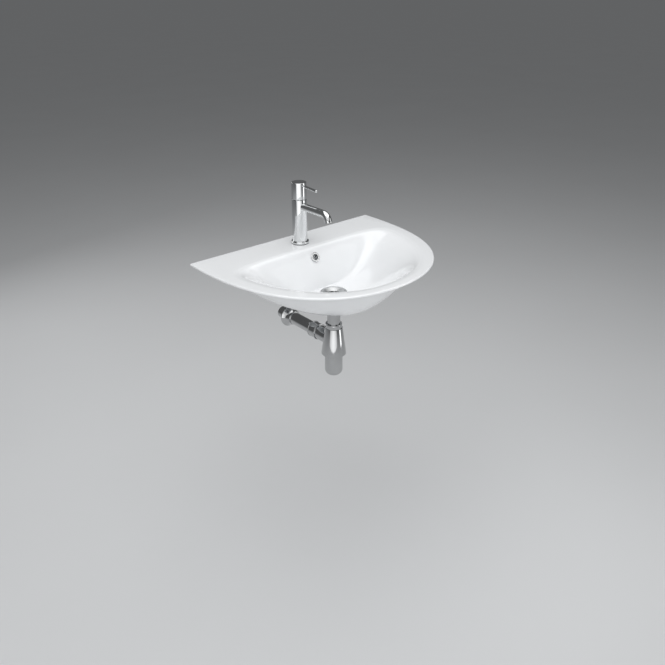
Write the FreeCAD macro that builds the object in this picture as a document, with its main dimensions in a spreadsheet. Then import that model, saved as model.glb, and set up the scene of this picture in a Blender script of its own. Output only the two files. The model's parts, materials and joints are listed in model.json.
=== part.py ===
import FreeCAD, Part
import Sketcher
import math
import os

# A wall-hung ceramic washbasin with a single-lever tap, an open waste and a bottle trap.
# Frame: millimetres, +Z up, +Y into the wall, origin on the wall midway between the two fixing holes.

# Driving sizes

SIZES = [
    # Ceramic basin
    ("basin_width", 550, "rim, left to right"),
    ("basin_depth", 396, "rim, wall to front"),
    ("rim_height", 55, "rim above the fixing holes"),
    ("rim_edge_radius", 3, "half-round edge of the rim"),
    ("keel_width", 198, "keel, left to right at the wall"),
    ("keel_reach", 252, "keel, wall to front"),
    ("deck_depth", 90, "tap deck, wall to bowl"),
    ("deck_thickness", 13, "ceramic of the tap deck"),
    ("bowl_width", 480, "bowl opening, left to right"),
    ("bowl_rim_front", 24, "flat rim in front of the bowl"),
    ("bowl_depth", 89, "rim to bowl floor"),
    ("floor_thickness", 23, "bowl floor down to the flat keel underneath"),
    ("bowl_floor_width", 124, "bowl floor, left to right"),
    ("bowl_floor_behind", 35, "bowl floor behind the drain's axis"),
    ("bowl_floor_ahead", 50, "bowl floor in front of the drain's axis"),
    ("back_wall", 14, "ceramic against the wall"),
    ("cavity_top_width", 400, "rear cavity under the deck, left to right"),
    ("cavity_bottom_width", 170, "rear cavity at the keel, left to right"),
    ("cavity_top_reach", 80, "rear cavity under the deck, wall to front"),
    ("cavity_bottom_reach", 92, "rear cavity at the keel, wall to front"),
    ("cavity_corner", 12, "rounded corners of the rear cavity"),
    ("cavity_beside_fixing", 14, "rear cavity beside each fixing hole, at its height"),
    ("fixing_spacing", 280, "wall fixing holes, centre to centre"),
    ("fixing_hole", 13, "wall fixing hole"),
    ("drain_setback", 179, "wall to drain axis"),
    ("waste_hole", 46, "hole for the waste"),
    ("waste_recess_width", 63, "recess for the waste's flange"),
    ("waste_recess_depth", 4.5, "recess for the waste's flange"),
    ("overflow_hole", 18, "overflow hole"),
    ("overflow_drop", 22, "rim to overflow"),
    ("overflow_setback", 110.5, "wall to overflow, on the bowl's back"),
    ("overflow_pitch", 31, "overflow axis above the horizontal, degrees"),
    ("overflow_depth", 15, "bowl's back to the overflow duct's axis"),
    ("duct_bore", 12, "overflow duct inside the ceramic"),
    ("duct_lean", 6, "duct's foot in front of its head"),
    ("overrun", 4, "how far cuts run past a face"),
    # Overflow ring
    ("overflow_ring_diameter", 24, "flange of the overflow ring"),
    ("overflow_ring_lip", 2, "thickness of that flange"),
    ("overflow_ring_sleeve", 9, "length of the ring's sleeve"),
    ("overflow_ring_wall", 1.5, "wall of the sleeve"),
    ("overflow_ring_stand", 0.6, "flange off the curved bowl"),
    # Tap, fixed pieces
    ("tap_setback", 54, "wall to tap axis"),
    ("tap_hole", 35, "hole in the deck"),
    ("tap_diameter", 36, "tap body and cap"),
    ("tap_height", 109.3, "deck to the top of the tap body"),
    ("shank_diameter", 32, "shank through the deck"),
    ("shank_reach", 9, "shank below the deck's top"),
    ("base_gasket_diameter", 42, "gasket under the tap"),
    ("base_gasket_height", 1.5, "gasket under the tap"),
    ("base_ring_diameter", 43, "ring round the tap's foot"),
    ("base_ring_height", 5, "ring round the tap's foot"),
    ("base_ring_round", 1.5, "rounded edge of that ring"),
    ("inlet_thread", 9, "minor diameter of the hose threads"),
    ("inlet_depth", 12, "depth of the hose threads"),
    ("inlet_spread", 14, "between the two inlets"),
    ("inlet_forward", 4, "inlets in front of the tap's axis"),
    ("passage_bore", 6, "water passages to the cartridge"),
    ("stud_diameter", 8, "fixing stud"),
    ("stud_length", 53, "fixing stud"),
    ("stud_back", 10, "stud behind the tap's axis"),
    ("stud_engagement", 12, "stud inside the shank"),
    ("clamp_diameter", 48, "horseshoe plate and gasket"),
    ("clamp_gap", 26, "slot of the horseshoe for the hoses"),
    ("clamp_gap_back", 5, "back of that slot behind the axis"),
    ("clamp_gasket_height", 3, "horseshoe gasket"),
    ("clamp_plate_height", 2.5, "horseshoe plate"),
    ("clamp_nut_flats", 13, "fixing nut across flats"),
    ("clamp_nut_height", 8, "fixing nut"),
    ("spout_height", 93.5, "deck to the spout's axis"),
    ("spout_diameter", 17.5, "spout tube outside"),
    ("spout_bore", 14, "spout tube inside"),
    ("spout_reach", 106.5, "tap axis to the outlet"),
    ("spout_bend_radius", 17, "bend near the spout's end, on the tube's axis"),
    ("spout_angle", 74, "angle of that bend, degrees"),
    ("spout_tip", 4.6, "straight end after the bend"),
    ("spout_seat", 3.6, "spout inside the body's wall"),
    ("aerator_height", 3.6, "aerator ring"),
    ("aerator_wall", 1, "aerator ring"),
    ("aerator_recess", 0.8, "aerator inside the spout's mouth"),
    ("screen_height", 2.4, "aerator screen"),
    ("screen_hole", 1.6, "holes of the screen"),
    ("screen_ring_radius", 3.6, "circle of holes"),
    # Tap, cartridge
    ("cartridge_seat", 66, "deck to the cartridge's seat"),
    ("cartridge_diameter", 25, "cartridge housing"),
    ("cartridge_wall", 1.6, "cartridge housing"),
    ("cartridge_flange_diameter", 29, "flange under the bonnet nut"),
    ("cartridge_flange_height", 2, "flange under the bonnet nut"),
    ("cartridge_neck_diameter", 23, "neck through the bonnet nut"),
    ("cartridge_neck_height", 8.7, "neck above the flange"),
    ("bonnet_diameter", 30, "bonnet nut and its dome"),
    ("bonnet_thread", 5, "bonnet nut inside the body"),
    ("pivot_depth", 2.3, "lever pivot below the body's top"),
    ("pivot_pin_diameter", 3, "cross pin"),
    ("rotor_diameter", 19.2, "rotor in the neck"),
    ("rotor_flange_diameter", 21, "rotor under the neck"),
    ("rotor_flange_height", 5, "rotor under the neck"),
    ("rotor_above_pivot", 5, "rotor above the pivot"),
    ("rotor_slot_width", 8.4, "slot for the spindle"),
    ("rotor_slot_length", 13, "slot for the spindle"),
    ("spindle_width", 8, "square spindle"),
    ("spindle_tongue", 4.8, "round tongue of the spindle"),
    ("spindle_arm", 11, "pivot to the middle of the tongue's tip"),
    ("tongue_tip", 2.2, "tongue below that point"),
    ("tongue_root", 7, "pivot to the root of the tongue"),
    ("carrier_height", 6, "carrier on the moving disc"),
    ("carrier_floor", 1, "carrier under the tongue"),
    ("carrier_slot_length", 7.4, "slot of the carrier"),
    ("carrier_slot_width", 5.6, "slot of the carrier"),
    ("moving_disc_diameter", 16.8, "moving disc and carrier"),
    ("moving_disc_offset", 1.9, "moving disc behind the axis when shut"),
    ("disc_height", 5, "each ceramic disc"),
    ("disc_film", 0.05, "between the discs"),
    ("disc_port", 4.5, "ports of the fixed disc and the base"),
    ("disc_port_circle", 5.6, "ports from the axis"),
    # Tap, handle
    ("handle_gap", 1.2, "body to cap"),
    ("handle_height", 39.5, "cap"),
    ("handle_round", 1, "rounded top edge of the cap"),
    ("handle_bore", 32, "cap over the bonnet's dome"),
    ("handle_cavity", 13.5, "cap over the bonnet's dome"),
    ("handle_socket", 14, "socket for the spindle"),
    ("lift_angle", 20, "lever from shut to full flow, degrees"),
    ("rod_diameter", 6, "lever rod"),
    ("rod_length", 48.5, "lever rod outside the cap"),
    ("rod_spigot_diameter", 5, "rod inside the cap"),
    ("rod_spigot_length", 8, "rod inside the cap"),
    ("rod_below_top", 6.7, "rod's root below the cap's top"),
    ("rod_droop", 3.5, "rod below the horizontal, degrees"),
    ("rod_stand", 0.25, "rod's shoulder off the round cap"),
    ("grub_diameter", 5, "grub screw"),
    ("grub_length", 9, "grub screw"),
    ("grub_key", 2.5, "hexagon socket of the grub screw"),
    ("grub_key_depth", 3, "hexagon socket of the grub screw"),
    ("grub_above_cavity", 7, "grub screw above the cap's cavity"),
    # Waste
    ("waste_flange_diameter", 60, "waste flange"),
    ("waste_flange_height", 3, "waste flange"),
    ("waste_dish_diameter", 50, "dish at its top"),
    ("waste_dish_depth", 6, "dish"),
    ("waste_tail_diameter", 42, "threaded tail"),
    ("waste_bore", 34, "inside the tail"),
    ("waste_bar", 3, "cross bars in the tail"),
    ("waste_slot_width", 14, "overflow slots in the tail"),
    ("waste_slot_height", 9, "overflow slots in the tail"),
    ("upper_seal_height", 1.5, "seal under the flange"),
    ("lower_seal_height", 3, "seal under the ceramic"),
    ("lower_seal_diameter", 58, "seal under the ceramic"),
    ("backnut_flats", 53, "backnut across flats"),
    ("backnut_height", 6, "backnut"),
    ("tail_below_backnut", 9, "tail below the backnut"),
    # Trap
    ("pipe_diameter", 32, "inlet tube and outlet pipe"),
    ("pipe_wall", 1.5, "inlet tube and outlet pipe"),
    ("union_gap", 1.5, "backnut to inlet nut"),
    ("union_diameter", 50, "inlet nut"),
    ("union_lip", 4, "inlet nut under the tube's flange"),
    ("union_rib", 1.2, "grip ribs of the inlet nut"),
    ("inlet_seal_height", 2, "seal on the tube's flange"),
    ("tube_flange_height", 2.5, "tube's flange"),
    ("tube_flange_diameter", 40.6, "tube's flange"),
    ("trap_top", 184, "rim to the top of the cone"),
    ("cone_height", 72.5, "cone of the trap"),
    ("cone_top_diameter", 43.4, "cone of the trap"),
    ("cone_bottom_diameter", 62.5, "cone of the trap"),
    ("trap_wall", 2.5, "cone and cup"),
    ("neck_diameter", 36.8, "threaded neck on the cone"),
    ("neck_height", 7, "threaded neck on the cone"),
    ("collar_diameter", 41, "collar nut"),
    ("collar_lip", 2, "collar nut above its seal"),
    ("collar_seal_height", 2, "seal on the neck"),
    ("dip_clearance", 30, "foot of the inlet tube above the cup's floor"),
    ("cup_diameter", 45, "cup of the trap"),
    ("cup_height", 58, "cup below its seal"),
    ("cup_round", 14, "rounded bottom of the cup"),
    ("cup_spigot_diameter", 40, "cup inside the cone"),
    ("cup_spigot_height", 10, "cup inside the cone"),
    ("cup_seal_height", 2, "seal between cup and cone"),
    ("outlet_drop", 35.5, "top of the cone to the outlet's axis"),
    ("boss_diameter", 38, "outlet boss on the cone"),
    ("boss_reach", 53, "trap axis to the end of the boss"),
    ("boss_thread_diameter", 35.4, "thread on the boss"),
    ("boss_thread_length", 14, "thread on the boss"),
    ("boss_bore", 27, "way out of the cone"),
    ("pipe_engagement", 27, "pipe inside the boss"),
    ("outlet_seal_height", 4, "seal on the pipe"),
    ("outlet_nut_diameter", 40, "outlet nut"),
    ("outlet_nut_bead", 0.9, "beads at the nut's ends"),
    ("outlet_nut_bead_width", 3, "beads at the nut's ends"),
    ("outlet_nut_lip", 9, "outlet nut behind its seal"),
    ("wall_stub", 30, "pipe past the wall's face"),
    ("pipe_bead_height", 0.8, "rolled stop bead where the pipe enters the drain"),
    ("pipe_bead_width", 2, "rolled stop bead where the pipe enters the drain"),
    ("wall_flange_diameter", 57, "wall flange at the wall"),
    ("wall_flange_neck", 37, "wall flange at its front"),
    ("wall_flange_depth", 22, "wall flange"),
    ("wall_flange_curve", 30, "hollow curve of the wall flange"),
    ("wall_flange_rim", 3, "straight rim at the wall"),
    ("wall_flange_thickness", 1.5, "wall flange"),
    # Clearances
    ("fit_clearance", 0.1, "radial clearance of fixed fits"),
    ("running_clearance", 0.05, "radial clearance of running fits"),
    ("moving_clearance", 0.4, "clearance between moving pieces"),
]

# Powers of the rounded plan and profile curves, and shares that shape the bowl

PLAN_SIDE_POWER = 2.11
PLAN_FRONT_POWER = 2.70
PLAN_FLARE_SHARE = 0.018
HULL_SIDE_POWER = 0.40
HULL_FRONT_POWER = 0.54
HULL_DEPTH_SHARES = (0.0, 0.02, 0.08, 0.2, 0.4, 0.65, 0.88, 0.97, 1.0)
BOWL_MIDDLE_SHARE = 0.45
BOWL_CORNER_POWER = 6
# Depth of each bowl section, then how far its sides, back and front have come in from opening to floor.
BOWL_SHARES = (
    (-0.03, -0.055, -0.13, -0.055),
    (0.0, 0.0, 0.0, 0.0),
    (0.03, 0.04, 0.09, 0.037),
    (0.09, 0.11, 0.19, 0.09),
    (0.22, 0.23, 0.34, 0.16),
    (0.45, 0.38, 0.56, 0.287),
    (0.7, 0.55, 0.78, 0.457),
    (0.88, 0.73, 0.92, 0.65),
    (0.97, 0.9, 0.98, 0.846),
    (1.0, 1.0, 1.0, 1.0),
)
PLAN_STEPS = 24
BOWL_STEPS = 48
BISECTIONS = 50
RIM_EDGE_STEPS = 6
HULL_OVERLAP_SHARE = 0.2
UNION_RIBS = 12
SCREEN_HOLES = 6

doc = FreeCAD.newDocument("washbasin")
sheet = doc.addObject("Spreadsheet::Sheet", "Sizes")
for row, (name, number, meaning) in enumerate(SIZES, start=1):
    sheet.set(f"A{row}", meaning)
    sheet.set(f"B{row}", str(number))
    sheet.setAlias(f"B{row}", name)
doc.recompute()


# Lengths that know both their number and the sheet formula that gives it

class Size:
    """A number together with the formula in the sheet's aliases that gives it."""

    def __init__(self, number, formula):
        self.number = float(number)
        self.formula = formula

    def __add__(self, other):
        return Size(self.number + other.number, f"({self.formula} + {other.formula})")

    def __sub__(self, other):
        return Size(self.number - other.number, f"({self.formula} - {other.formula})")

    def __mul__(self, factor):
        return Size(self.number * factor, f"({self.formula} * {factor!r})")

    def __truediv__(self, divisor):
        return Size(self.number / divisor, f"({self.formula} / {divisor!r})")

    def __neg__(self):
        return Size(-self.number, f"(0 - {self.formula})")


class SheetSizes:
    """Gives each alias of the sheet as a Size."""

    def __getattr__(self, alias):
        return Size(getattr(sheet, alias), f"Sizes.{alias}")


size = SheetSizes()
ZERO = Size(0, "0")
RIGHT_ANGLE = Size(90, "90")


def across(radius, rise):
    """Half chord of a circle at a distance from its centre."""
    number = math.sqrt(radius.number ** 2 - rise.number ** 2)
    return Size(number, f"sqrt({radius.formula}^2 - {rise.formula}^2)")


def sine(angle, length):
    return Size(length.number * math.sin(math.radians(angle.number)), f"({length.formula} * sin({angle.formula}))")


def cosine(angle, length):
    return Size(length.number * math.cos(math.radians(angle.number)), f"({length.formula} * cos({angle.formula}))")


def tangent(angle, length):
    return Size(length.number * math.tan(math.radians(angle.number)), f"({length.formula} * tan({angle.formula}))")


# Heights and radii that several pieces share

rim = size.rim_height
deck = rim
tap_radius = size.tap_diameter / 2
foot_top = size.base_gasket_height + size.base_ring_height
pivot_height = size.tap_height - size.pivot_depth
cap_foot = size.tap_height + size.handle_gap
bowl_floor = rim - size.bowl_depth
hull_depth = size.bowl_depth + size.floor_thickness
keel = rim - hull_depth
tail_radius = size.waste_tail_diameter / 2
pipe_radius = size.pipe_diameter / 2
tail_foot = keel - size.lower_seal_height - size.backnut_height - size.tail_below_backnut
tube_top = tail_foot - size.inlet_seal_height
cone_top = rim - size.trap_top
cone_foot = cone_top - size.cone_height
cup_top = cone_foot - size.cup_seal_height
cup_floor = cup_top - size.cup_height + size.trap_wall
spout_drop = (
    size.spout_bend_radius - cosine(size.spout_angle, size.spout_bend_radius) + sine(size.spout_angle, size.spout_tip)
)
nut_seat = size.boss_reach + size.boss_thread_length + size.outlet_seal_height
outlet = cone_top - size.outlet_drop
moving_disc_foot = pivot_height - size.spindle_arm - size.tongue_tip - size.moving_clearance - size.carrier_floor - size.disc_height


# Sketches and features

def bind(target, path, length):
    target.setExpression(path, length.formula)


def new_body(name):
    body = doc.addObject("PartDesign::Body", name)
    body.Label = name
    return body


def new_sketch(body, role, offset=ZERO, spin=0):
    """A sketch on one of the body's origin planes, moved along the plane's normal and turned about it."""
    sketch = body.newObject("Sketcher::SketchObject", f"{body.Name}_sketch")
    plane = next(item for item in body.Origin.OriginFeatures if item.Role == role)
    sketch.AttachmentSupport = (plane, [""])
    sketch.MapMode = "FlatFace"
    turned = FreeCAD.Rotation(FreeCAD.Vector(0, 0, 1), spin)
    sketch.AttachmentOffset = FreeCAD.Placement(FreeCAD.Vector(), turned)
    if offset is not ZERO:
        bind(sketch, "AttachmentOffset.Base.z", offset)
    return sketch


def fix_point(sketch, geometry, end, point):
    """Ties a point of the sketch to its two sizes, or to an axis where the size is zero."""
    for kind, length, axis in (("DistanceX", point[0], -2), ("DistanceY", point[1], -1)):
        if length is ZERO:
            sketch.addConstraint(Sketcher.Constraint("PointOnObject", geometry, end, axis))
        else:
            rule = Sketcher.Constraint(kind, -1, 1, geometry, end, length.number)
            bind(sketch, f"Constraints[{sketch.addConstraint(rule)}]", length)


def fix_radius(sketch, geometry, radius):
    rule = Sketcher.Constraint("Radius", geometry, radius.number)
    bind(sketch, f"Constraints[{sketch.addConstraint(rule)}]", radius)


def arc_between(start, end, radius, left):
    """The short arc from start to end, with its centre on the left or right of the way."""
    chord = end - start
    rise = math.sqrt(max(radius ** 2 - (chord.Length / 2) ** 2, 0))
    normal = FreeCAD.Vector(-chord.y, chord.x, 0).normalize()
    centre = (start + end) / 2 + normal * (rise if left else -rise)
    first, last = (start, end) if left else (end, start)
    angles = [math.atan2(point.y - centre.y, point.x - centre.x) for point in (first, last)]
    circle = Part.Circle(centre, FreeCAD.Vector(0, 0, 1), radius)
    return Part.ArcOfCircle(circle, angles[0], angles[1])


def add_outline(sketch, outline):
    """A closed outline, anticlockwise: each point is (x, y), or (x, y, radius, side) where an arc leaves it."""
    corners = [FreeCAD.Vector(item[0].number, item[1].number, 0) for item in outline]
    ends = []
    for index, item in enumerate(outline):
        start = corners[index]
        end = corners[(index + 1) % len(corners)]
        if len(item) == 2:
            ends.append((sketch.addGeometry(Part.LineSegment(start, end)), 1, 2))
        else:
            left = item[3] == "left"
            geometry = sketch.addGeometry(arc_between(start, end, item[2].number, left))
            ends.append((geometry, 1, 2) if left else (geometry, 2, 1))
    for index, (geometry, first, last) in enumerate(ends):
        following = ends[(index + 1) % len(ends)]
        sketch.addConstraint(Sketcher.Constraint("Coincident", geometry, last, following[0], following[1]))
    for (geometry, first, last), item in zip(ends, outline):
        fix_point(sketch, geometry, first, item)
        if len(item) > 2:
            fix_radius(sketch, geometry, item[2])


def add_circle(sketch, x, y, radius):
    centre = FreeCAD.Vector(x.number, y.number, 0)
    geometry = sketch.addGeometry(Part.Circle(centre, FreeCAD.Vector(0, 0, 1), radius.number))
    fix_radius(sketch, geometry, radius)
    fix_point(sketch, geometry, 3, (x, y))


def box_outline(left, right, low, high):
    return [(left, low), (right, low), (right, high), (left, high)]


def hexagon(flats):
    """Corners of a hexagon with two corners on the sketch's X axis."""
    corner = flats / math.sqrt(3)
    half = flats / 2
    return [
        (corner, ZERO),
        (corner / 2, half),
        (-(corner / 2), half),
        (-corner, ZERO),
        (-(corner / 2), -half),
        (corner / 2, -half),
    ]


def turn(body, profile, cut=False):
    """Revolves a profile of radius and height about the body's Z axis."""
    sketch = new_sketch(body, "XZ_Plane")
    add_outline(sketch, profile)
    feature = body.newObject("PartDesign::Groove" if cut else "PartDesign::Revolution", f"{body.Name}_turned")
    feature.Profile = sketch
    feature.ReferenceAxis = (sketch, ["V_Axis"])
    return feature


def extrude(body, sketch, length, cut=False, reverse=False, both=False):
    """Pads or pockets a sketch, one way or both ways from its plane."""
    feature = body.newObject("PartDesign::Pocket" if cut else "PartDesign::Pad", f"{body.Name}_extruded")
    feature.Profile = sketch
    feature.Reversed = reverse
    if both:
        feature.SideType = "Symmetric"
    bind(feature, "Length", length)
    return feature


def place(piece, y=ZERO, z=ZERO, x=ZERO, tilt=ZERO):
    """Puts a piece at its place, turned about X by an angle in degrees."""
    rotation = FreeCAD.Rotation(FreeCAD.Vector(1, 0, 0), tilt.number)
    piece.Placement = FreeCAD.Placement(FreeCAD.Vector(x.number, y.number, z.number), rotation)
    for axis, length in (("x", x), ("y", y), ("z", z)):
        bind(piece, f"Placement.Base.{axis}", length)
    if tilt is not ZERO:
        bind(piece, "Placement.Rotation.Angle", tilt)


def ring(name, inner, outer, height):
    """A plain ring standing on its own XY plane."""
    body = new_body(name)
    turn(body, box_outline(inner, outer, ZERO, height))
    return body


def drill(name, radius, height, **where):
    """A cylinder used to cut a hole."""
    cylinder = doc.addObject("Part::Cylinder", name)
    bind(cylinder, "Radius", radius)
    bind(cylinder, "Height", height)
    place(cylinder, **where)
    return cylinder


def cut_away(name, base, tools):
    """The base less all the tools, as a new piece."""
    tool = tools[0]
    if len(tools) > 1:
        tool = doc.addObject("Part::MultiFuse", f"{name}_cuts")
        tool.Shapes = tools
    piece = doc.addObject("Part::Cut", name)
    piece.Label = name
    piece.Base = base
    piece.Tool = tool
    return piece


# Ceramic basin

def plan_wire(half_width, reach, height):
    """A D-shaped section: rounded towards the front, and run on a little past the wall's plane."""
    points = []
    for step in range(PLAN_STEPS + 1):
        angle = math.pi * step / PLAN_STEPS
        out = math.sin(angle) ** (2 / PLAN_FRONT_POWER) if 0 < step < PLAN_STEPS else 0
        side = math.copysign(abs(math.cos(angle)) ** (2 / PLAN_SIDE_POWER), math.cos(angle))
        if step * 2 == PLAN_STEPS:
            side = 0
        points.append(FreeCAD.Vector(half_width * side * (1 + PLAN_FLARE_SHARE * out), -reach * out, height))
    front = Part.BSplineCurve()
    front.interpolate(points)
    past_wall = FreeCAD.Vector(0, size.overrun.number, 0)
    back = Part.makePolygon([points[-1], points[-1] + past_wall, points[0] + past_wall, points[0]])
    return Part.Wire([front.toShape()] + back.Edges)


def wall_block():
    """The space behind the wall's plane, which gives the casting one flat back."""
    overrun = size.overrun.number
    width = size.basin_width.number + overrun * 2
    corner = FreeCAD.Vector(-width / 2, 0, (keel - size.overrun).number)
    return Part.makeBox(width, overrun * 2, hull_depth.number + overrun * 2, corner)


def hull_solid():
    """The rim's half-round edge and the hull below it."""
    edge = size.rim_edge_radius.number
    half_width = (size.basin_width / 2).number
    reach = size.basin_depth.number
    top = rim.number
    rim_wires = []
    for step in range(RIM_EDGE_STEPS + 1):
        angle = math.pi * (0.5 - step / RIM_EDGE_STEPS)
        inset = edge * (1 - math.cos(angle))
        rim_wires.append(plan_wire(half_width - inset, reach - inset, top - edge * (1 - math.sin(angle))))
    keel_half = (size.keel_width / 2).number
    keel_reach = size.keel_reach.number
    lip = edge * (2 - HULL_OVERLAP_SHARE)
    hull_wires = []
    for share in HULL_DEPTH_SHARES:
        side = math.sqrt(1 - share ** HULL_SIDE_POWER)
        front = math.sqrt(1 - share ** HULL_FRONT_POWER)
        hull_wires.append(plan_wire(
            keel_half + (half_width - edge - keel_half) * side,
            keel_reach + (reach - edge - keel_reach) * front,
            top - lip - (hull_depth.number - lip) * share,
        ))
    rim_part = Part.makeLoft(rim_wires, True, False).cut(wall_block())
    hull_part = Part.makeLoft(hull_wires, True, False).cut(wall_block())
    return rim_part.fuse(hull_part).removeSplitter()


def plan_distance(half_width, reach, middle, angle):
    """From a point in the middle of a D-shaped section to its edge, in one direction."""
    inside = 0
    outside = reach + half_width
    for halving in range(BISECTIONS):
        distance = (inside + outside) / 2
        out = max((middle - distance * math.sin(angle)) / reach, 0)
        side = abs(distance * math.cos(angle)) / (half_width * (1 + PLAN_FLARE_SHARE * out))
        if side ** PLAN_SIDE_POWER + out ** PLAN_FRONT_POWER < 1:
            inside = distance
        else:
            outside = distance
    return inside


def bowl_wire(half_width, back, front, height):
    """A closed bowl section: the hull's D shape, with a straight back and soft corners."""
    middle = back + (front - back) * BOWL_MIDDLE_SHARE
    points = []
    for step in range(BOWL_STEPS):
        angle = 2 * math.pi * step / BOWL_STEPS
        nearness = plan_distance(half_width, front, middle, angle) ** -BOWL_CORNER_POWER
        if 0 < step * 2 < BOWL_STEPS:
            nearness += (math.sin(angle) / (middle - back)) ** BOWL_CORNER_POWER
        distance = nearness ** (-1 / BOWL_CORNER_POWER)
        points.append(FreeCAD.Vector(distance * math.cos(angle), distance * math.sin(angle) - middle, height))
    curve = Part.BSplineCurve()
    curve.interpolate(Points=points, PeriodicFlag=True)
    return Part.Wire([curve.toShape()])


def bowl_solid():
    """The space inside the bowl, a little above the rim too."""
    half_width = (size.bowl_width / 2).number
    floor_half = (size.bowl_floor_width / 2).number
    back = size.deck_depth.number
    front = (size.basin_depth - size.bowl_rim_front).number
    floor_back = (size.drain_setback - size.bowl_floor_behind).number
    floor_front = (size.drain_setback + size.bowl_floor_ahead).number
    wires = []
    for depth, side_in, back_in, front_in in BOWL_SHARES:
        wires.append(bowl_wire(
            half_width + (floor_half - half_width) * side_in,
            back + (floor_back - back) * back_in,
            front + (floor_front - front) * front_in,
            rim.number - size.bowl_depth.number * depth,
        ))
    return Part.makeLoft(wires, True, False)


def rounded_rectangle(half_width, back, front, corner, height):
    """A rectangle with arcs at its corners, from back to front along -Y."""
    middles = [
        (half_width - corner, -back - corner, 0),
        (-half_width + corner, -back - corner, 1),
        (-half_width + corner, -front + corner, 2),
        (half_width - corner, -front + corner, 3),
    ]
    arcs = []
    for x, y, quarter in middles:
        circle = Part.Circle(FreeCAD.Vector(x, y, height), FreeCAD.Vector(0, 0, 1), corner)
        arcs.append(Part.ArcOfCircle(circle, quarter * math.pi / 2, (quarter + 1) * math.pi / 2))
    edges = []
    for index, arc in enumerate(arcs):
        following = arcs[(index + 1) % len(arcs)]
        edges.append(arc.toShape())
        edges.append(Part.LineSegment(arc.EndPoint, following.StartPoint).toShape())
    return Part.Wire(edges)


def cavity_solid():
    """The open space behind the bowl, which gives reach to the tap's nut and the wall bolts."""
    corner = size.cavity_corner.number
    back = size.back_wall.number
    low = (keel - size.overrun).number
    high = (deck - size.deck_thickness).number
    top_reach = size.cavity_top_reach.number
    bottom_reach = size.cavity_bottom_reach.number
    fixing_half = (size.fixing_spacing / 2 + size.cavity_beside_fixing).number
    fixing_reach = top_reach + (bottom_reach - top_reach) * high / (high - low)
    upper = rounded_rectangle((size.cavity_top_width / 2).number, back, top_reach, corner, high)
    middle = rounded_rectangle(fixing_half, back, fixing_reach, corner, 0)
    lower = rounded_rectangle((size.cavity_bottom_width / 2).number, back, bottom_reach, corner, low)
    return Part.makeLoft([lower, middle, upper], True, True)


def make_basin():
    casting = doc.addObject("Part::Feature", "ceramic_casting")
    casting.Shape = hull_solid().cut(bowl_solid()).cut(cavity_solid())
    overrun = size.overrun
    floor_cut = size.bowl_depth + overrun
    pitch = size.overflow_pitch
    duct_head_y = -(size.overflow_setback) + cosine(pitch, size.overflow_depth)
    duct_head_z = rim - size.overflow_drop - sine(pitch, size.overflow_depth)
    duct_foot_z = (bowl_floor + keel) / 2
    duct_drop = duct_head_z - duct_foot_z
    lean_degrees = math.degrees(math.atan2(size.duct_lean.number, duct_drop.number))
    lean = Size(lean_degrees, f"(atan({size.duct_lean.formula} / {duct_drop.formula}) / 1deg)")
    duct_radius = size.duct_bore / 2
    drain_y = -size.drain_setback
    duct_foot_y = duct_head_y - size.duct_lean
    wall_length = size.back_wall + overrun * 2
    cuts = [
        drill("tap_hole_cut", size.tap_hole / 2, size.deck_thickness + overrun * 2,
              y=-size.tap_setback, z=deck - size.deck_thickness - overrun),
        drill("waste_hole_cut", size.waste_hole / 2, hull_depth + overrun * 2, y=drain_y, z=keel - overrun),
        drill("waste_recess_cut", size.waste_recess_width / 2, floor_cut,
              y=drain_y, z=bowl_floor - size.waste_recess_depth),
        drill("overflow_cut", size.overflow_hole / 2, size.overflow_depth + overrun,
              y=duct_head_y, z=duct_head_z, tilt=RIGHT_ANGLE - pitch),
        drill("duct_cut", duct_radius, duct_drop, y=duct_foot_y, z=duct_foot_z, tilt=-lean),
        drill("duct_foot_cut", duct_radius - size.overflow_ring_wall, size.drain_setback + duct_foot_y,
              y=drain_y, z=duct_foot_z, tilt=-RIGHT_ANGLE),
    ]
    for side, x in (("left", -(size.fixing_spacing / 2)), ("right", size.fixing_spacing / 2)):
        cuts.append(drill(f"{side}_fixing_cut", size.fixing_hole / 2, wall_length,
                          x=x, y=-size.back_wall - overrun, tilt=-RIGHT_ANGLE))
    return cut_away("basin", casting, cuts)


def make_overflow_ring():
    body = new_body("overflow_ring")
    sleeve = size.overflow_hole / 2 - size.fit_clearance
    bore = sleeve - size.overflow_ring_wall
    lip = size.overflow_ring_diameter / 2
    height = size.overflow_ring_lip
    turn(body, [
        (bore, -size.overflow_ring_sleeve),
        (sleeve, -size.overflow_ring_sleeve),
        (sleeve, ZERO),
        (lip, ZERO),
        (lip, height / 2, height / 2, "left"),
        (lip - height / 2, height),
        (bore, height),
    ])
    stand = size.overflow_ring_stand
    place(body, y=-size.overflow_setback - cosine(size.overflow_pitch, stand),
          z=rim - size.overflow_drop + sine(size.overflow_pitch, stand), tilt=RIGHT_ANGLE - size.overflow_pitch)
    return body


# Tap, fixed pieces

def make_base_gasket():
    bore = size.shank_diameter / 2 + size.fit_clearance
    body = ring("base_gasket", bore, size.base_gasket_diameter / 2, size.base_gasket_height)
    place(body, y=-size.tap_setback, z=deck)
    return body


def make_base_ring():
    body = new_body("base_ring")
    bore = size.shank_diameter / 2 + size.fit_clearance
    outer = size.base_ring_diameter / 2
    top = size.base_ring_height
    edge = size.base_ring_round
    turn(body, [
        (bore, ZERO),
        (outer, ZERO),
        (outer, top - edge, edge, "left"),
        (outer - edge, top),
        (bore, top),
    ])
    place(body, y=-size.tap_setback, z=deck + size.base_gasket_height)
    return body


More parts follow.
